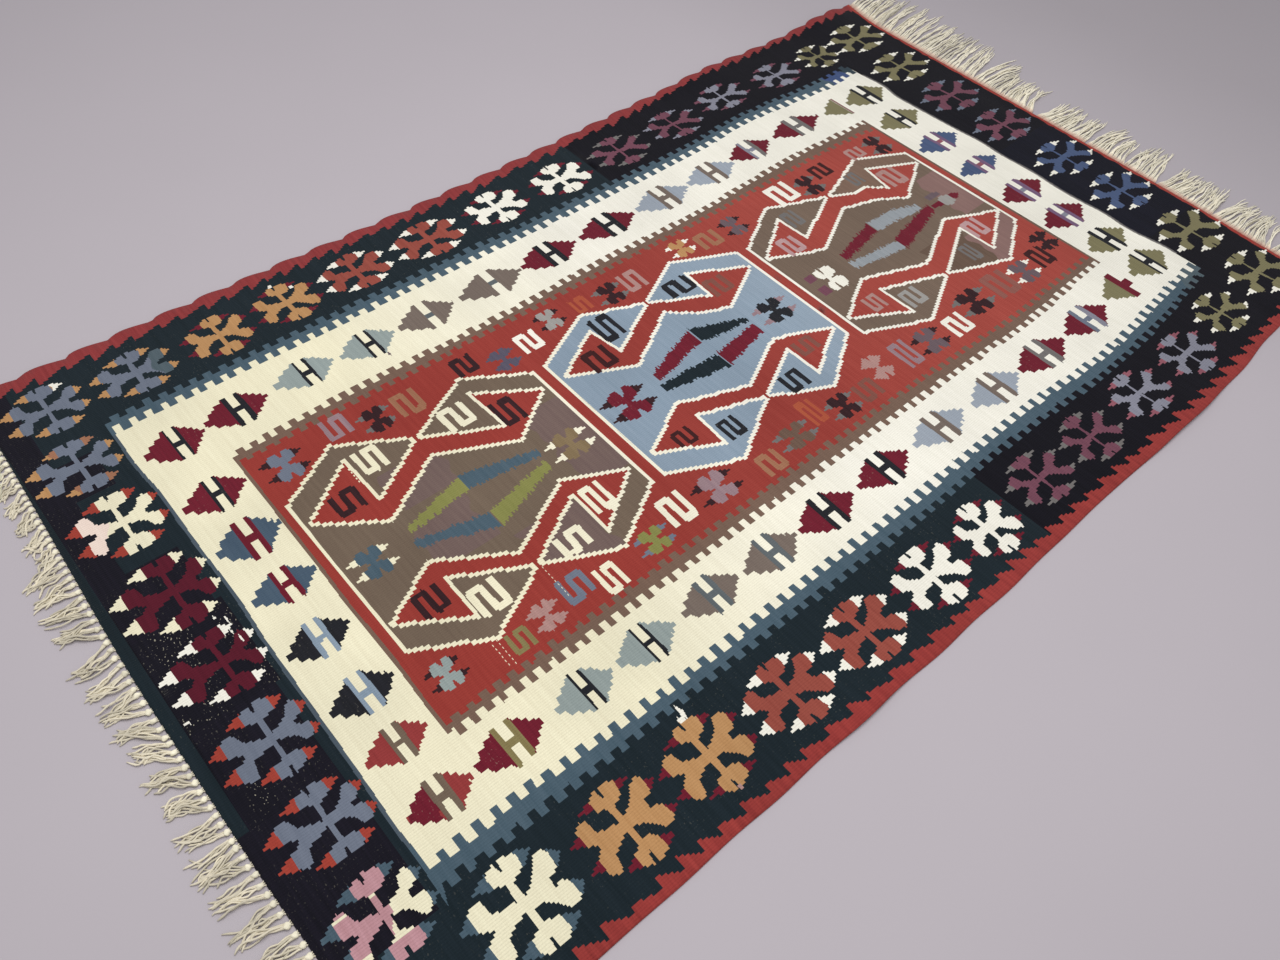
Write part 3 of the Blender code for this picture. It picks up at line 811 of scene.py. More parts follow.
def letter(row):
    woven(row.yarn, [(row.turn * u, v) for u, v in S_SHAPE], *box_of(row))


# The small crosses of the field: four lobes, and a tip on each
CROSS = parts((
    (0, 15), (8, 20), (18, 46), (28, 58), (78, 58), (98, 46), (98, 22), (56, 11), (54, 3), (96, -3),
    (98, -28), (82, -50), (28, -52), (18, -38), (8, -15), (0, -10),
))
CROSS_TIPS = parts(((26, 78, 56, 50, 100), (26, 76, -50, 50, -100)))
CROSSES = table("left right near far body tips", 4, (
    (249, 312, 620, 685, "dusk", "dusk"), (229, 293, 340, 410, "soot", "pewter"),
    (219, 292, 150, 233, "slate", "soot"), (498, 563, 568, 665, "ochre", "ivory"),
    (495, 560, 159, 239, "steel", "ivory"), (762, 815, 553, 633, "lime", "slate"),
    (760, 817, 327, 390, "ash", "ash"), (745, 800, 140, 208, "mist", "soot"),
    (215, 269, 1128, 1201, "orange", "ivory"), (229, 293, 905, 983, "soot", "pewter"),
    (215, 275, 759, 827, "ashen", "soot"), (475, 545, 1133, 1233, "ink", "heather"),
    (480, 561, 713, 823, "crimson", "soot"), (722, 792, 1197, 1257, "ash", "ash"),
    (753, 815, 1052, 1133, "soot", "pewter"), (750, 807, 911, 1012, "husk", "pewter"),
    (740, 808, 708, 807, "heather", "soot"), (205, 283, 1800, 1873, "soot", "pewter"),
    (219, 295, 1535, 1608, "soot", "pewter"), (222, 290, 1281, 1349, "smoke", "soot"),
    (697, 763, 1823, 1890, "soot", "soot"), (732, 800, 1683, 1770, "smoke", "white"),
    (722, 795, 1495, 1605, "soot", "pewter"), (741, 811, 1332, 1421, "smoke", "soot"),
))


def cross(row):
    for shape in tip_shapes(CROSS_TIPS):
        woven(row.tips, shape, *box_of(row), EVEN)
    woven(row.body, both_sides(CROSS), *box_of(row))


WHITE_MOTH = parts((
    (8, 30), (12, 75), (30, 95), (80, 90), (100, 55), (98, 22), (45, 16), (45, 6), (98, 0), (92, -40),
    (55, -50), (25, -30), (14, -2),
))


MOTH_WINGS = table(BOX, 4, ((480, 502, 1308, 1332, "plum"), (522, 546, 1306, 1330, "plum")))
LAMP = table("across along half_width half_length yarn points", 4, (
    (494, 1826, 14, 20, "crimson", ((-40, -100), (40, -100), (80, 20), (0, 100), (-80, 20))),
    (494, 1770, 14, 22, "crimson", ((-60, 100), (60, 100), (40, -100), (-40, -100))),
    (495, 1799, 20, 18, "ashen", ((-100, -40), (-60, -100), (60, -100), (100, -20), (70, 100), (-70, 100))),
    (464, 1783, 8, 22, "smoke", ((-100, -100), (100, -100), (100, 100), (-100, 100))),
))


def odd_motifs():
    """Two motifs on the third medallion's middle line that have no partner: a moth and a lamp."""
    woven("white", both_sides(WHITE_MOTH), (0.514, 1.352), 0.038, 0.036)
    bands(MOTH_WINGS)
    for row in LAMP:
        woven(row.yarn, parts(row.points), (row.across, row.along), row.half_width, row.half_length)


# The three medallions: each a stepped outline, two red bands that double back, and four bars in the middle.
# Columns: the yarn; how ragged its sides are, or 0 with a white outline; and its corners in millimetres.
MEDALLIONS = (
    ("earth", 0, (
        (340, 148), (265, 275), (345, 407), (270, 553), (345, 675), (690, 675), (767, 545), (702, 407),
        (772, 272), (700, 148),
    )),
    ("madder", 0, (
        (390, 665), (468, 550), (395, 405), (476, 270), (395, 158), (310, 277), (422, 280), (345, 406),
        (420, 550), (313, 545),
    )),
    ("madder", 0, (
        (640, 665), (585, 550), (663, 400), (582, 270), (646, 155), (722, 272), (628, 275), (702, 406),
        (625, 545), (722, 545),
    )),
    ("steel", 0.9, ((503, 560), (517, 560), (500, 413), (461, 413))),
    ("lime", 0.9, ((531, 557), (552, 557), (600, 413), (563, 413))),
    ("lime", 0.9, ((467, 412), (502, 412), (517, 280), (503, 280))),
    ("steel", 0.9, ((565, 410), (600, 410), (549, 273), (531, 273))),
    ("sky", 0, (
        (345, 704), (275, 850), (329, 985), (263, 1113), (330, 1255), (653, 1255), (737, 1120), (674, 993),
        (757, 845), (690, 704),
    )),
    ("madder", 0, (
        (378, 1247), (445, 1120), (425, 1060), (373, 995), (457, 850), (392, 715), (321, 837), (403, 850),
        (329, 985), (393, 1110), (310, 1115),
    )),
    ("madder", 0, (
        (623, 1247), (568, 1120), (631, 986), (577, 840), (640, 718), (710, 845), (624, 850), (674, 993),
        (609, 1120), (692, 1122),
    )),
    ("bottle", 0.9, ((487, 1120), (498, 1120), (494, 1050), (484, 999), (441, 999), (459, 1047))),
    ("crimson", 0.9, ((509, 1120), (541, 1120), (568, 999), (528, 999))),
    ("crimson", 0.9, ((442, 996), (484, 996), (514, 855), (492, 855))),
    ("bottle", 0.9, ((530, 997), (569, 997), (544, 847), (522, 847))),
    ("sepia", 0, (
        (335, 1284), (256, 1420), (313, 1575), (250, 1745), (308, 1870), (642, 1870), (722, 1740),
        (664, 1578), (737, 1430), (673, 1284),
    )),
    ("madder", 0, (
        (355, 1862), (432, 1730), (390, 1660), (366, 1570), (440, 1420), (385, 1290), (301, 1416),
        (385, 1420), (313, 1575), (342, 1640), (342, 1680), (377, 1720), (295, 1735),
    )),
    ("madder", 0, (
        (595, 1867), (538, 1730), (614, 1570), (558, 1410), (623, 1290), (697, 1420), (606, 1418),
        (664, 1578), (582, 1737), (674, 1740),
    )),
    ("fog", 0.9, ((463, 1723), (481, 1723), (474, 1660), (471, 1572), (436, 1572), (438, 1660))),
    ("crimson", 0.9, ((476, 1743), (504, 1743), (551, 1577), (512, 1577))),
    ("crimson", 0.9, ((436, 1570), (470, 1570), (498, 1433), (476, 1433))),
    ("fog", 0.9, ((519, 1577), (551, 1577), (528, 1429), (506, 1429))),
)
# The field's red runs in between the points of two neighbouring triangles
WAISTS = parts(((345, 406), (702, 406), (329, 985), (674, 993), (313, 1575), (664, 1578)), 1000)
WAIST_HALF = (0.0065, 0.003)


def medallions():
    for yarn, ragged, points in MEDALLIONS:
        points = parts(points, 1000)
        loom.weave_steps(yarn, points, ragged)
        if not ragged:
            loom.line("ivory", points)
    half_width, half_length = WAIST_HALF
    for across, along in WAISTS:
        band("madder", across - half_width, across + half_width, along - half_length, along + half_length)


# Ground of the outer border, from the near end on: the dyer's batches differ
BATCHES = table(BOX, 4, (
    (-300, 1300, -210, 2360, "bottle"), (-300, 600, 1200, 2360, "midnight"),
    (600, 1300, 1150, 2360, "midnight"), (450, 880, 2060, 2360, "night_blue"),
    (-300, 1050, -168, -118, "navy"), (20, 115, -118, -50, "navy"), (300, 1050, -118, -30, "navy"),
    (800, 1050, -210, -168, "navy"), (430, 620, -165, -20, "navy_worn"),
    (740, 800, -165, -115, "navy_worn"),
))
# Where a yarn changes into another batch's
PATCH = "left right near far yarn into"
GROUND_PATCHES = table(PATCH, 4, (
    (-100, 20, 1960, 2030, "steel", "royal"), (-100, 20, 2030, 2080, "steel", "gloom"),
    (970, 1060, 1990, 2080, "steel", "teal"), (420, 630, 585, 680, "earth", "mauve_earth"),
    (630, 770, 420, 546, "earth", "mauve_earth"), (380, 470, 300, 415, "earth", "mauve_earth"),
    (500, 610, 280, 395, "earth", "mauve_earth"), (400, 560, 1790, 1880, "sepia", "dusky"),
    (610, 730, 1720, 1880, "sepia", "dusky"), (580, 730, 1585, 1720, "sepia", "walnut"),
    (250, 370, 1600, 1870, "sepia", "fawn"),
))
MOTIF_PATCHES = table(PATCH, 4, (
    (930, 976, -180, -52, "ivory", "pink"), (980, 1040, -180, -82, "ivory", "pink"),
    (1045, 1090, -180, -52, "ivory", "pink"), (120, 280, -180, -100, "ivory", "blush"),
    (-200, -40, 124, 180, "slate", "teal"), (-30, 120, -110, -32, "orange", "clay"),
    (-190, -155, -50, -20, "orange", "white"), (880, 980, 0, 50, "scarlet", "crimson"),
))


def redye(patches):
    for row in patches:
        loom.redye(row)


BITS = table("across along half_width half_length yarn", 4, (
    (1050, 410, 14, 4, "white"), (1060, 403, 6, 8, "white"), (600, -160, 3, 8, "white"),
    (-155, 437, 5, 6, "white"), (-180, 404, 6, 5, "white"), (130, 487, 6, 3, "smoke"),
    (1192, 397, 4, 5, "ash"), (476, -33, 9, 2, "white"), (499, -37, 6, 2, "white"),
    (519, -31, 9, 2, "white"), (461, -46, 4, 3, "white"), (590, -34, 5, 2, "white"),
))
DOTTED = table("left right along", 3, ((700, 780, 409), (770, 826, 268), (775, 820, 258), (330, 365, 272)))


def small_marks():
    """White knots, loose ends and lines of specks."""
    for row in BITS:
        place = ((row.across, row.along), row.half_width, row.half_length, 0.2)
        woven(row.yarn, [(-1, -0.5), (0.4, -1), (1, 0.3), (0, 1)], *place)
    for row in DOTTED:
        for across in np.arange(row.left, row.right, 2 * WARP):
            band("ivory", across, across + WARP, row.along, row.along + 1.4 * PICK)


def far_weft_band():
    """A narrow band of red weft along the far end."""
    xs = np.linspace(-0.30, 1.28, 120)
    outer = [(x, far_end(x) + OUTSIDE) for x in xs]
    inner = [(x, far_end(x) - 0.010 + chance.uniform(-0.0025, 0.0025)) for x in xs[::-1]]
    loom.weave("weft_red", outer + inner)


LINE = 0.006  # thickness of the thin lines along the panels' level sides
TAIL = ((0.97, -0.009), (1.03, -0.009), (1.055, -0.019), (1.035, -0.018), (0.97, -0.016))  # the blue's end


def borders():
    near, far = level("border_near", 0.01, 0.98), level("border_far", 0.0, 0.97)
    line = level("border_near", 0.01, 0.98, -LINE)
    toothed_panel("steel", "dark_left", "dark_right", BLUE_TEETH, line, far)
    loom.weave("deep", line + near[::-1])
    loom.weave("pewter", far + level("border_far", 0.0, 0.97, LINE)[::-1])
    loom.weave("steel", TAIL)
    toothed_panel("ivory", "ivory_left", "ivory_right", IVORY_TEETH, near, far, (0.5, 0.0))
    near, far = level("field_near", 0.20, 0.83), [(0.20, FIELD_FAR), (0.83, FIELD_FAR)]
    toothed_panel("umber", "umber_left", "umber_right", UMBER_TEETH, near, far, (0.0, 0.5))
    near, far = level("field_near", 0.22, 0.82, LINE), [(0.22, FIELD_FAR - LINE), (0.82, FIELD_FAR - LINE)]
    toothed_panel("madder", "red_left", "red_right", RED_TEETH, near, far, (0.5, 0.0))


def weave_pattern():
    bands(BATCHES)
    selvedge("left", 1, -0.30, "cherry")
    selvedge("right", -1, 1.28, "selvedge")
    far_weft_band()
    borders()
    medallions()
    redye(GROUND_PATCHES)
    for rows, half, tips in (
        (NEAR_CRABS, NARROW_CRAB, NARROW_TIPS),
        (SIDE_CRABS, BROAD_CRAB, BROAD_TIPS),
        (FAR_CRABS, SLIM_CRAB, SLIM_TIPS),
    ):
        for row in rows:
            crab(row, half, tips)
    for row in HOOKS:
        hook(row)
    half_hooks()
    for row in LETTERS:
        letter(row)
    for row in CROSSES:
        cross(row)
    odd_motifs()
    redye(MOTIF_PATCHES)
    small_marks()


def srgb_to_linear(colour):
    value = np.asarray(colour, float) / 255
    return np.where(value <= 0.04045, value / 12.92, ((value + 0.055) / 1.055) ** 2.4)


def inside_rim(corners, rim):
    """Which grid corners lie inside the rim, all given as (warp, pick) with whole-number warps."""
    columns = {}
    for a, b in sides_of(rim):
        low, high = sorted((a[0], b[0]))
        for column in range(math.ceil(low), math.floor(high) + 1):
            if (a[0] <= column) != (b[0] <= column):
                part = (column - a[0]) / (b[0] - a[0])
                columns.setdefault(column, []).append(a[1] + part * (b[1] - a[1]))
    crossings = [sum(hit > pick for hit in columns.get(int(warp), ())) for warp, pick in corners]
    return np.array(crossings) % 2 == 1


def cloth_mesh():
    """The grid's points, triangles and each triangle's yarn."""
    corners, edges = loom.seams()
    rim = loom.on_grid(cloth_outline())
    scale = np.array([WARP, PICK])
    warps, picks = range(MARGIN, MARGIN + WARPS + 1, BED_WARPS), range(0, loom.picks, BED_PICKS)
    bed = [(warp, pick) for warp in warps for pick in picks]
    bed = np.array(bed)[inside_rim(bed, rim)]
    points = np.vstack([rim, corners, bed]) * scale
    edges = [(a + len(rim), b + len(rim)) for a, b in edges]
    outline = list(range(len(rim)))
    found, _, triangles, _, _, owners = delaunay_2d_cdt(
        [Vector(p) for p in points.tolist()], edges, [outline], 1, 1e-6
    )
    triangles = np.array([t for t, owner in zip(triangles, owners) if 0 in owner])
    found = np.array([tuple(p) for p in found]) / scale
    middles = found[triangles].mean(axis=1)
    warp, pick = np.clip(middles.astype(int), 0, np.array(loom.cells.shape) - 1).T
    return found, triangles, loom.cells[warp, pick]


def rim_of(triangles, numbers):
    """The rim's points in order, anticlockwise, and the yarn beside each of its edges."""
    beside = {}
    for number, (a, b, c) in zip(numbers.tolist(), triangles.tolist()):
        beside.update({(a, b): number, (b, c): number, (c, a): number})
    after = {a: b for a, b in beside if (b, a) not in beside}
    loop = [next(iter(after))]
    while after[loop[-1]] != loop[0]:
        loop.append(after[loop[-1]])
    return np.array(loop), np.array([beside[a, after[a]] for a in loop])


def settled(across, along):
    """0 at the rim and 1 from a little way in."""
    beside = np.minimum(across - left_line(along), right_line(along) - across)
    from_end = np.minimum(along - near_end(across), far_end(across) - along)
    return np.clip(np.minimum(beside, from_end) / SETTLE_REACH, 0.0, 1.0)


def noise_at(across, along, size, layer):
    """Smooth noise over the plan, from about -1 to 1; each layer is another pattern."""
    return np.array([noise.noise((x / size, y / size, layer * 7.3)) for x, y in zip(across, along)])


def cloth_surface(found):
    """The underside's places in the frame: the plan with its weft lines bowed, lifted as the solid is."""
    across, along = loom.on_plan(found).T
    inner = settled(across, along)
    bow = BOW * inner * noise_at(across, along, BOW_SIZE, 1)
    bow += WANDER * inner * noise_at(across, along, WANDER_SIZE, 4)
    sway = 0.6 * BOW * inner * noise_at(across, along, BOW_SIZE, 2)
    pucker = PUCKER * inner * np.clip(noise_at(across, along, PUCKER_SIZE, 3), 0.0, None)
    height = lift(across, along) + pucker
    return np.column_stack([across + sway - MIDDLE[0], along + bow - MIDDLE[1], height])


def yarn_colours(numbers, alongs, tone):
    """The first or second colour (tone 0 or 1) for yarn numbers at given distances along the rug."""
    both = srgb_to_linear(list(YARNS.values()))
    colours_of = both[:, 3 * tone : 3 * tone + 3]
    colours = colours_of[numbers]
    for yarn, into, start, end in FADES:
        part = np.clip((alongs - start) / (end - start), 0.0, 1.0)[:, None]
        faded = colours + (colours_of[NUMBERS[into]] - colours) * part
        colours = np.where((numbers == NUMBERS[yarn])[:, None], faded, colours)
    return colours


def corner_colours(mesh, name, colours, alpha):
    layer = mesh.color_attributes.new(name=name, type="FLOAT_COLOR", domain="CORNER")
    layer.data.foreach_set("color", np.column_stack([colours, alpha]).astype(np.float32).ravel())


def corner_uv(mesh, name, places):
    mesh.uv_layers.new(name=name).uv.foreach_set("vector", np.asarray(places, np.float32).ravel())


def put_in_scene(name, data):
    made = bpy.data.objects.new(name, data)
    bpy.context.scene.collection.objects.link(made)
    return made


def make_cloth():
    """The closed sheet: the pattern's triangles above and below, and a slightly bulging edge between."""
    found, triangles, numbers = cloth_mesh()
    ring, rim_numbers = rim_of(triangles, numbers)
    following = np.roll(ring, -1)
    under = cloth_surface(found)
    upper = under + (0, 0, CLOTH_THICKNESS)
    count = len(found)
    sideways = under[following] - under[np.roll(ring, 1)]
    outward = np.column_stack([sideways[:, 1], -sideways[:, 0]])
    outward *= RIM_BULGE / np.linalg.norm(outward, axis=1)[:, None]
    middle = under[ring] + (0, 0, CLOTH_THICKNESS / 2)
    middle[:, :2] += outward
    belt = 2 * count + np.arange(len(ring))
    next_belt = np.roll(belt, -1)
    faces = triangles.tolist() + (count + triangles[:, ::-1]).tolist()
    faces += np.column_stack([count + ring, count + following, next_belt, belt]).tolist()
    faces += np.column_stack([belt, next_belt, following, ring]).tolist()

    mesh = bpy.data.meshes.new("woven_rug")
    mesh.from_pydata(np.vstack([upper, under, middle]).tolist(), [], faces)
    source = np.concatenate([np.arange(count), np.arange(count), ring])
    corners = np.concatenate([np.array(face) for face in faces])
    face_numbers = np.concatenate([numbers, numbers, rim_numbers, rim_numbers])
    corner_numbers = np.repeat(face_numbers, [len(face) for face in faces])
    grid = found[source[corners]]
    alongs = FIRST_ALONG + PICK * grid[:, 1]
    wear = np.array([WEAR.get(name, 0.0) for name in YARNS])[corner_numbers]
    for tone, name in enumerate(("yarn", "yarn_second")):
        corner_colours(mesh, name, yarn_colours(corner_numbers, alongs, tone), wear)
    corner_uv(mesh, "Loom", grid)
    corner_uv(mesh, "OFBake", grid / (WARPS + 2 * MARGIN, loom.picks))
    mesh.polygons.foreach_set("use_smooth", np.ones(len(faces), bool))
    mesh.update()
    return put_in_scene("woven_rug", mesh)


class Nodes:
    """A material's nodes, added one at a time."""

    def __init__(self, name):
        self.material = bpy.data.materials.new(name)
        self.material.use_nodes = True
        self.tree = self.material.node_tree
        self.shader = self.tree.nodes["Principled BSDF"]

    def put(self, socket, value):
        """Links a node's output to a socket, or sets the socket's own value."""
        if isinstance(value, bpy.types.NodeSocket):
            self.tree.links.new(value, socket)
        else:
            socket.default_value = value

    def add(self, kind, inputs=(), output=0, **settings):
        """Adds a node, with its inputs by name or number, and returns one of its outputs."""
        made = self.tree.nodes.new(kind)
        for key, value in settings.items():
            setattr(made, key, value)
        for key, value in dict(inputs).items():
            self.put(made.inputs[key], value)
        return made.outputs[output]

    def math(self, operation, a, b=0.0):
        return self.add("ShaderNodeMath", {0: a, 1: b}, operation=operation)

    def plus(self, a, b):
        return self.math("ADD", a, b)

    def times(self, a, b):
        return self.math("MULTIPLY", a, b)

    def ramp(self, value, low, high, to_low=0.0, to_high=1.0):
        """A value's way from low to high, mapped from to_low to to_high."""
        inputs = {"Value": value, "From Min": low, "From Max": high, "To Min": to_low, "To Max": to_high}
        return self.add("ShaderNodeMapRange", inputs)

    def mix(self, part, a, b, blend="MIX"):
        inputs = {"Factor": part, 6: a, 7: b}
        return self.add("ShaderNodeMix", inputs, output=2, data_type="RGBA", blend_type=blend)

    def shaded(self, colour, shade):
        """A colour made lighter or darker by a number."""
        grey = self.add("ShaderNodeCombineColor", {0: shade, 1: shade, 2: shade})
        return self.mix(1.0, colour, grey, "MULTIPLY")

    def noise(self, place, scale, detail=2.0, roughness=0.5):
        inputs = {"Vector": place, "Scale": scale, "Detail": detail, "Roughness": roughness}
        return self.add("ShaderNodeTexNoise", inputs, output="Fac")

    def surface(self, **values):
        for name, value in values.items():
            self.put(self.shader.inputs[name.replace("_", " ")], value)

    def wool(self, colour, height, distance, roughness, sheen):
        """Finishes the look of a cloth or a yarn: a matt, faintly downy surface with a bump."""
        bump = self.add("ShaderNodeBump", {"Height": height, "Distance": distance, "Strength": 1.0})
        self.surface(Base_Color=colour, Normal=bump, Roughness=roughness)
        self.surface(Specular_IOR_Level=SPECULAR, Sheen_Weight=sheen, Sheen_Roughness=0.5)
        return self.material


def wool_material():
    """Weft-faced wool: warp ribs under beaten-down wefts, streaked along the weft as the dye varies."""
    nodes = Nodes("woven_wool_look")
    main = nodes.add("ShaderNodeVertexColor", layer_name="yarn")
    wear = nodes.add("ShaderNodeVertexColor", output=1, layer_name="yarn")
    second = nodes.add("ShaderNodeVertexColor", layer_name="yarn_second")
    grid = nodes.add("ShaderNodeUVMap", uv_map="Loom")
    warp, pick = [nodes.add("ShaderNodeSeparateXYZ", {0: grid}, output=axis) for axis in (0, 1)]

    def stretched_noise(warp_scale, pick_scale, detail, roughness):
        place = {0: nodes.times(warp, warp_scale), 1: nodes.times(pick, pick_scale)}
        return nodes.noise(nodes.add("ShaderNodeCombineXYZ", place), 1.0, detail, roughness)

    streak = nodes.ramp(stretched_noise(*STREAKS), *STREAK_RANGE)
    cloud = stretched_noise(*CLOUDS)
    fleck = stretched_noise(*FLECKS)
    rib = nodes.math("ABSOLUTE", nodes.math("SINE", nodes.times(warp, math.pi)))
    turn = nodes.times(nodes.math("FLOOR", warp), math.pi)
    bead = nodes.math("SINE", nodes.plus(nodes.times(pick, math.pi), turn))
    clouded = nodes.ramp(cloud, *NOISE_RANGE, *CLOUD_SHADES)
    shade = nodes.plus(clouded, nodes.ramp(fleck, *NOISE_RANGE, *FLECK_SHADES))
    # painted shade: the colour is darkened in the furrows between the warp ribs
    shade = nodes.times(shade, nodes.ramp(rib, *GROOVE, *GROOVE_PAINTED_SHADE))
    colour = nodes.shaded(nodes.mix(streak, main, second), shade)

    patch = nodes.ramp(stretched_noise(*BARE_PATCHES), *PATCH_RANGE)
    speck = nodes.ramp(stretched_noise(*BARE_SPECKS), *SPECK_RANGE)
    bare = nodes.times(nodes.times(speck, patch), wear)
    colour = nodes.mix(bare, colour, (*srgb_to_linear(COTTON), 1.0))

    height = nodes.plus(nodes.times(rib, RIB_HEIGHT), nodes.times(nodes.times(bead, rib), BEAD_HEIGHT))
    height = nodes.plus(height, nodes.times(fleck, FLECK_HEIGHT))
    return nodes.wool(colour, height, WEAVE_DEPTH, WOOL_ROUGHNESS, WOOL_SHEEN)


def yarn_material():
    """Undyed plied yarn: its own strand's tone, varied by the fibres and by use."""
    nodes = Nodes("undyed_yarn_look")
    tone = nodes.add("ShaderNodeVertexColor", layer_name="yarn")
    place = nodes.add("ShaderNodeTexCoord", output="Object")
    fibre = nodes.noise(place, FIBRE_SCALE)
    soil = nodes.noise(place, SOIL_SCALE)
    fibrous = nodes.ramp(fibre, *NOISE_RANGE, *FIBRE_SHADES)
    shade = nodes.times(fibrous, nodes.ramp(soil, *NOISE_RANGE, *SOIL_SHADES))
    return nodes.wool(nodes.shaded(tone, shade), fibre, FIBRE_DEPTH, YARN_ROUGHNESS, YARN_SHEEN)


class Strands:
    """Many tubes and knots, gathered into one mesh with a tone at every point."""

    def __init__(self):
        self.verts = []
        self.faces = []
        self.tones = []

    def ring_faces(self, first, second, sides):
        for i in range(sides):
            j = (i + 1) % sides
            self.faces.append((first + i, first + j, second + j, second + i))

    def cap(self, first, sides, flip):
        loop = list(range(first, first + sides))
        self.faces.append(tuple(loop[::-1] if flip else loop))

    def tube(self, path, radii, tones, sides, twist, ply=0.2):
        """A yarn along path; its section has two lobes that turn as the plies do."""
        path = np.asarray(path, float)
        ahead = np.gradient(path, axis=0)
        ahead /= np.linalg.norm(ahead, axis=1)[:, None]
        across = np.cross(ahead, (0, 0, 1.0))
        across /= np.linalg.norm(across, axis=1)[:, None]
        upward = np.cross(across, ahead)
        angles = 2 * math.pi * np.arange(sides) / sides
        start = len(self.verts)
        for i, (point, radius, tone) in enumerate(zip(path, radii, tones)):
            reach = radius * (1 + ply * np.cos(2 * (angles - twist * i)))[:, None]
            ring = np.cos(angles)[:, None] * across[i] + np.sin(angles)[:, None] * upward[i]
            self.verts += (point + reach * ring).tolist()
            self.tones += [tone] * sides
        for i in range(len(path) - 1):
            self.ring_faces(start + i * sides, start + (i + 1) * sides, sides)
        self.cap(start, sides, True)
        self.cap(start + (len(path) - 1) * sides, sides, False)

    def knot(self, centre, half, tone, turn):
        """An overhand knot: a ball with slanting ridges; half gives its three half sizes."""
        start = len(self.verts)
        for row in range(1, KNOT_ROWS):
            tilt = math.pi * row / KNOT_ROWS
            for side in range(KNOT_SIDES):
                angle = 2 * math.pi * side / KNOT_SIDES
                swell = 1 + 0.14 * math.cos(2 * angle + 3 * tilt + turn)
                ring = math.sin(tilt)
                place = (ring * math.cos(angle), -math.cos(tilt), ring * math.sin(angle))
                self.verts.append([c + h * p * swell for c, h, p in zip(centre, half, place)])
                self.tones.append(tone)
        for row in range(KNOT_ROWS - 2):
            self.ring_faces(start + (row + 1) * KNOT_SIDES, start + row * KNOT_SIDES, KNOT_SIDES)
        self.cap(start, KNOT_SIDES, False)
        self.cap(start + (KNOT_ROWS - 2) * KNOT_SIDES, KNOT_SIDES, True)

    def piece(self, name, look):
        mesh = bpy.data.meshes.new(name)
        mesh.from_pydata(self.verts, [], self.faces)
        corners = np.empty(len(mesh.loops), int)
        mesh.loops.foreach_get("vertex_index", corners)
        colours = srgb_to_linear(np.array(self.tones))[corners]
        corner_colours(mesh, "yarn", colours, np.ones(len(corners)))
        mesh.polygons.foreach_set("use_smooth", np.ones(len(mesh.polygons), bool))
        mesh.materials.append(look)
        return put_in_scene(name, mesh)


def locks_of(clumps):
    """Each lock of some clumps, with its number in the clump and its distance to the next."""
    for clump in clumps:
        for index in range(clump.locks):
            yield clump, index, (clump.root_to - clump.root_from) / (clump.locks - 1)


def lock_points(clump, index, side, end, strip_width, count):
    """Points on the floor along one lock of the solids, evenly spaced from its root to its tip."""
    part = index / (clump.locks - 1)
    root = clump.root_from + (clump.root_to - clump.root_from) * part
    tip = clump.tip_from + (clump.tip_to - clump.tip_from) * part
    beat = math.sin(LENGTH_BEAT * index + 9 * clump.root_from)
    reach = side * clump.length * (1 + LENGTH_SPREAD * beat)
    bend = SWAY * math.sin(17 * clump.root_from + 1.3)
    s = np.linspace(0, 1, count)
    across = root + (tip - root) * s**LEAN_BEND + bend * np.sin(math.pi * s)
    along = float(end(root)) + side * strip_width + reach * s
    return np.column_stack([across - MIDDLE[0], along - MIDDLE[1], np.zeros(count)]), s


def tone_of(colour, spread):
    """A lighter or darker tone of a colour, for one strand."""
    shade = 1 + chance.uniform(-spread, spread)
    return [channel * shade for channel in colour]


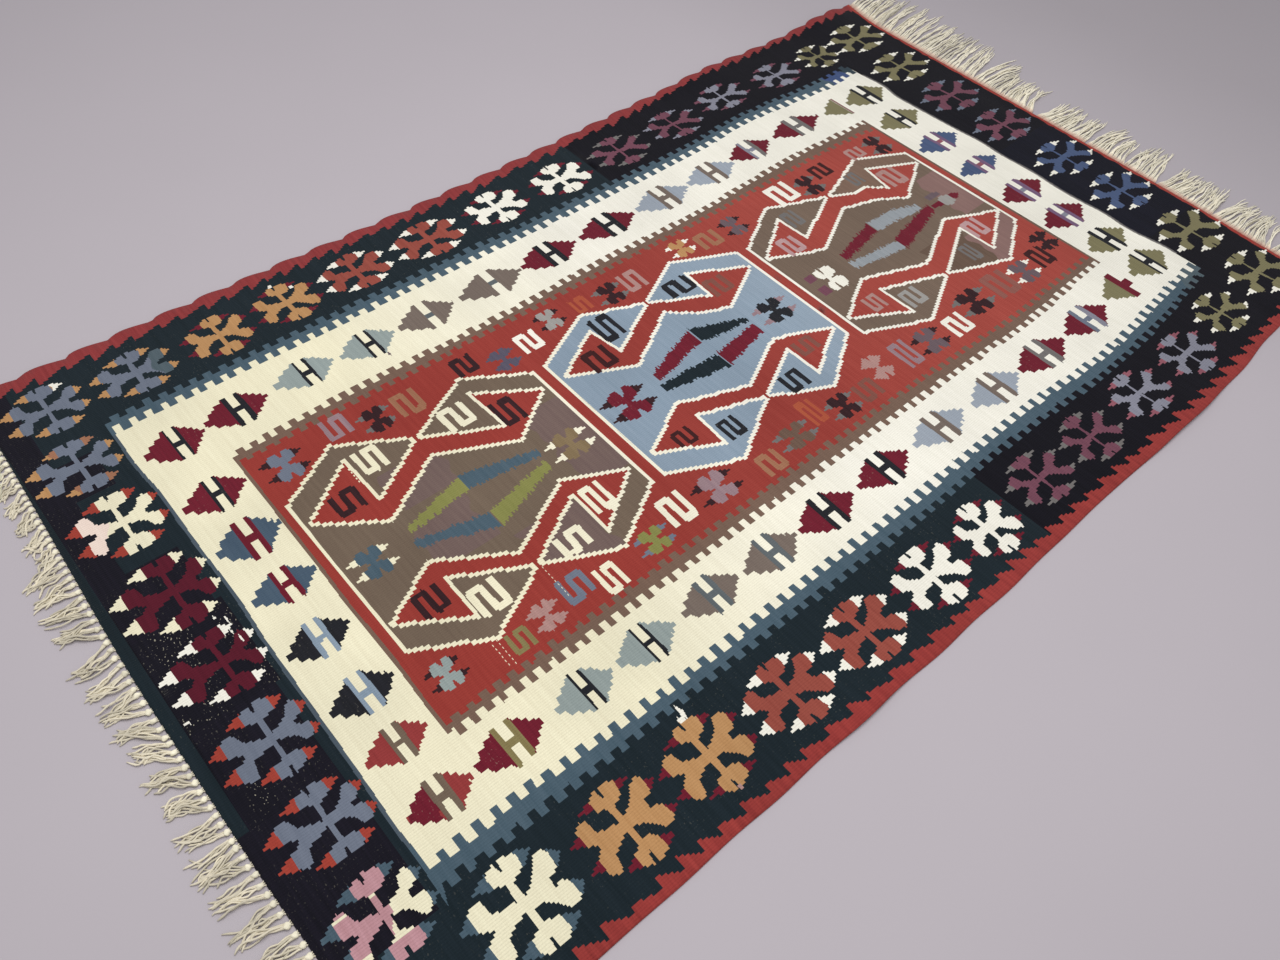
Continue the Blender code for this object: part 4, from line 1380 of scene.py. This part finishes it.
def near_fringe(look):
    """Knotted warp ends: each knot lets out a few plied cords, and neighbours' cords lie in bunches."""
    strands = Strands()
    for clump, index, pitch in locks_of(NEAR_CLUMPS):
        points, s = lock_points(clump, index, -1, near_end, NEAR_STRIP_WIDTH, NEAR_POINTS)
        root = points[0]
        cloth_side = root + (0, NEAR_STRIP_WIDTH, 0)
        aside = chance.uniform(-KNOT_ASIDE, KNOT_ASIDE)
        inward = NEAR_STRIP_WIDTH * chance.uniform(*KNOT_INWARD)
        centre = root + (aside, inward, KNOT_HALF[2])
        half = [h * chance.uniform(*KNOT_SIZES) for h in KNOT_HALF]
        strands.knot(centre, half, tone_of(KNOT_TONE, KNOT_SPREAD), chance.uniform(0, 6))
        for part in (-1, 0, 1):
            foot = cloth_side + (part * FOOT_APART, *FOOT_AT)
            line = [foot + (centre - foot) * t for t in (0, 0.35, 0.7, 1.0)]
            strands.tube(line, FOOT_RADII, [tone_of(CREAM, FOOT_SPREAD)] * len(line), 5, 1.0)
        gather = -((index % BUNCH) - (BUNCH - 1) / 2) * pitch * GATHER
        for cord in range(NEAR_CORDS):
            lane = cord - (NEAR_CORDS - 1) / 2
            reach = chance.uniform(*CORD_LENGTHS)
            phase, waves = chance.uniform(0, FULL_TURN), chance.uniform(*CORD_WAVES)
            swing, curl = chance.uniform(*CORD_SWINGS), chance.gauss(0, CORD_CURL)
            drift = gather + lane * CORD_APART + chance.gauss(0, CORD_STRAY)
            line = root + (points - root) * (1, reach, 1)
            line[:, 0] += lane * CORD_ROOT_APART + drift * np.minimum(1, 1.35 * s) ** 1.3
            line[:, 0] += swing * np.sin(phase + 2 * math.pi * waves * s) * np.minimum(1, 3 * s)
            line[:, 0] += curl * np.clip((s - 0.65) / 0.35, 0, 1) ** 2
            radius = CORD_RADIUS * chance.uniform(*CORD_SIZES)
            over = abs(chance.gauss(0, CORD_OVER))
            line[:, 2] = radius + over * np.sin(math.pi * s) + NEAR_ROOT_RISE * (1 - s) ** 3
            radii = radius * np.where(s > 0.97, 0.6, 1.0)
            strands.tube(line, radii, [tone_of(CREAM, CORD_SPREAD)] * NEAR_POINTS, CORD_SIDES, CORD_TWIST)
    return strands.piece("knotted_ends", look)


def far_fringe(look):
    """Plain warp ends: crimped yarns in loose locks, tinted by the red weft where they leave the cloth."""
    strands = Strands()
    root_tint = np.array(ROOT_TINT)
    for clump, index, pitch in locks_of(FAR_CLUMPS):
        points, s = lock_points(clump, index, 1, far_end, FAR_STRIP_WIDTH, FAR_POINTS)
        root = points[0]
        beat, crimps = chance.uniform(0, FULL_TURN), clump.length * chance.uniform(*CRIMPS)
        gather, stray = chance.uniform(*LOCK_GATHER), chance.gauss(0, LOCK_STRAY)
        for yarn in range(FAR_YARNS):
            lane = (yarn + 0.5) / FAR_YARNS - 0.5
            reach = chance.uniform(*YARN_LENGTHS)
            phase = beat + chance.gauss(0, YARN_PHASE)
            swing = chance.uniform(*YARN_SWINGS)
            own = stray + chance.gauss(0, YARN_STRAY)
            line = root + (points - root) * (1, reach, 1)
            line[:, 0] += lane * pitch * (1 - gather * np.sin(math.pi * np.minimum(1, 1.2 * s)))
            crimp = swing * np.sin(phase + 2 * math.pi * crimps * s) * np.minimum(1, 4 * s)
            line[:, 0] += own * s**1.5 + crimp
            line[0, 1] -= FAR_STRIP_WIDTH + FAR_TUCK
            radius = YARN_RADIUS * chance.uniform(*YARN_SIZES)
            over = abs(chance.gauss(0, YARN_OVER))
            line[:, 2] = radius + over * np.sin(math.pi * s**0.7) + FAR_ROOT_RISE * (1 - s) ** 6
            tone = np.array(tone_of(PALE, YARN_SPREAD))
            tint = (root_tint - tone) * TINT_PART
            tones = [(tone + tint * max(0.0, 1 - TINT_FADE * part)).tolist() for part in s]
            strands.tube(line, radius * (1 - 0.4 * s**4), tones, YARN_SIDES, YARN_TWIST)
    return strands.piece("plain_ends", look)


def floor():
    half = FLOOR_SIZE / 2
    mesh = bpy.data.meshes.new("floor")
    corners = [(-half, -half, 0), (half, -half, 0), (half, half, 0), (-half, half, 0)]
    mesh.from_pydata(corners, [], [(0, 1, 2, 3)])
    made = put_in_scene("floor", mesh)
    made.location.z = -FLOOR_GAP
    nodes = Nodes("floor_look")
    place = nodes.add("ShaderNodeTexCoord", output="Object")
    away = nodes.add("ShaderNodeSeparateXYZ", {0: place}, output=1)
    shade = nodes.ramp(nodes.noise(place, *FLOOR_NOISE), *NOISE_RANGE, *FLOOR_SHADES)
    # painted shade: the floor's colour darkens beyond the rug, where the window's light falls off
    shade = nodes.times(shade, nodes.ramp(away, *FLOOR_PAINTED_FALLOFF))
    colour = nodes.shaded((*srgb_to_linear(FLOOR_COLOUR), 1.0), shade)
    nodes.surface(Base_Color=colour, Roughness=FLOOR_ROUGHNESS, Specular_IOR_Level=FLOOR_SPECULAR)
    mesh.materials.append(nodes.material)


def camera():
    """The photograph's camera, worked out from the border's four corners."""
    lens = bpy.data.cameras.new("camera")
    lens.sensor_width = SENSOR_WIDTH
    lens.lens = FOCAL_LENGTH
    made = put_in_scene("camera", lens)
    right = Vector(CAMERA_RIGHT).normalized()
    back = -Vector(CAMERA_FORWARD).normalized()
    up = back.cross(right).normalized()
    place = Vector((CAMERA_AT[0] - MIDDLE[0], CAMERA_AT[1] - MIDDLE[1], CAMERA_AT[2]))
    turn = Matrix((right, up, back)).transposed().to_4x4()
    made.matrix_world = Matrix.Translation(place) @ turn
    bpy.context.scene.camera = made


def lights():
    world = bpy.data.worlds.new("room")
    bpy.context.scene.world = world
    world.use_nodes = True
    background = world.node_tree.nodes["Background"]
    background.inputs["Color"].default_value = ROOM_COLOUR
    background.inputs["Strength"].default_value = WORLD_STRENGTH
    light = bpy.data.lights.new("window", "AREA")
    light.shape = "SQUARE"
    light.size = WINDOW_SIZE
    light.energy = WINDOW_POWER
    light.color = WINDOW_COLOUR
    made = put_in_scene("window", light)
    made.location = WINDOW_AT
    made.rotation_euler = (Vector(WINDOW_AIM) - Vector(WINDOW_AT)).to_track_quat("-Z", "Y").to_euler()
    bpy.context.scene.view_settings.view_transform = "Standard"


weave_pattern()
cloth = make_cloth()
cloth.data.materials.append(wool_material())
yarn = yarn_material()
knotted_ends = near_fringe(yarn)
plain_ends = far_fringe(yarn)
floor()
camera()
lights()

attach(cloth, "root")
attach(knotted_ends, "root")
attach(plain_ends, "root")
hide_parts("woven_cloth")
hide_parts("knotted_fringe")
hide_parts("plain_fringe")
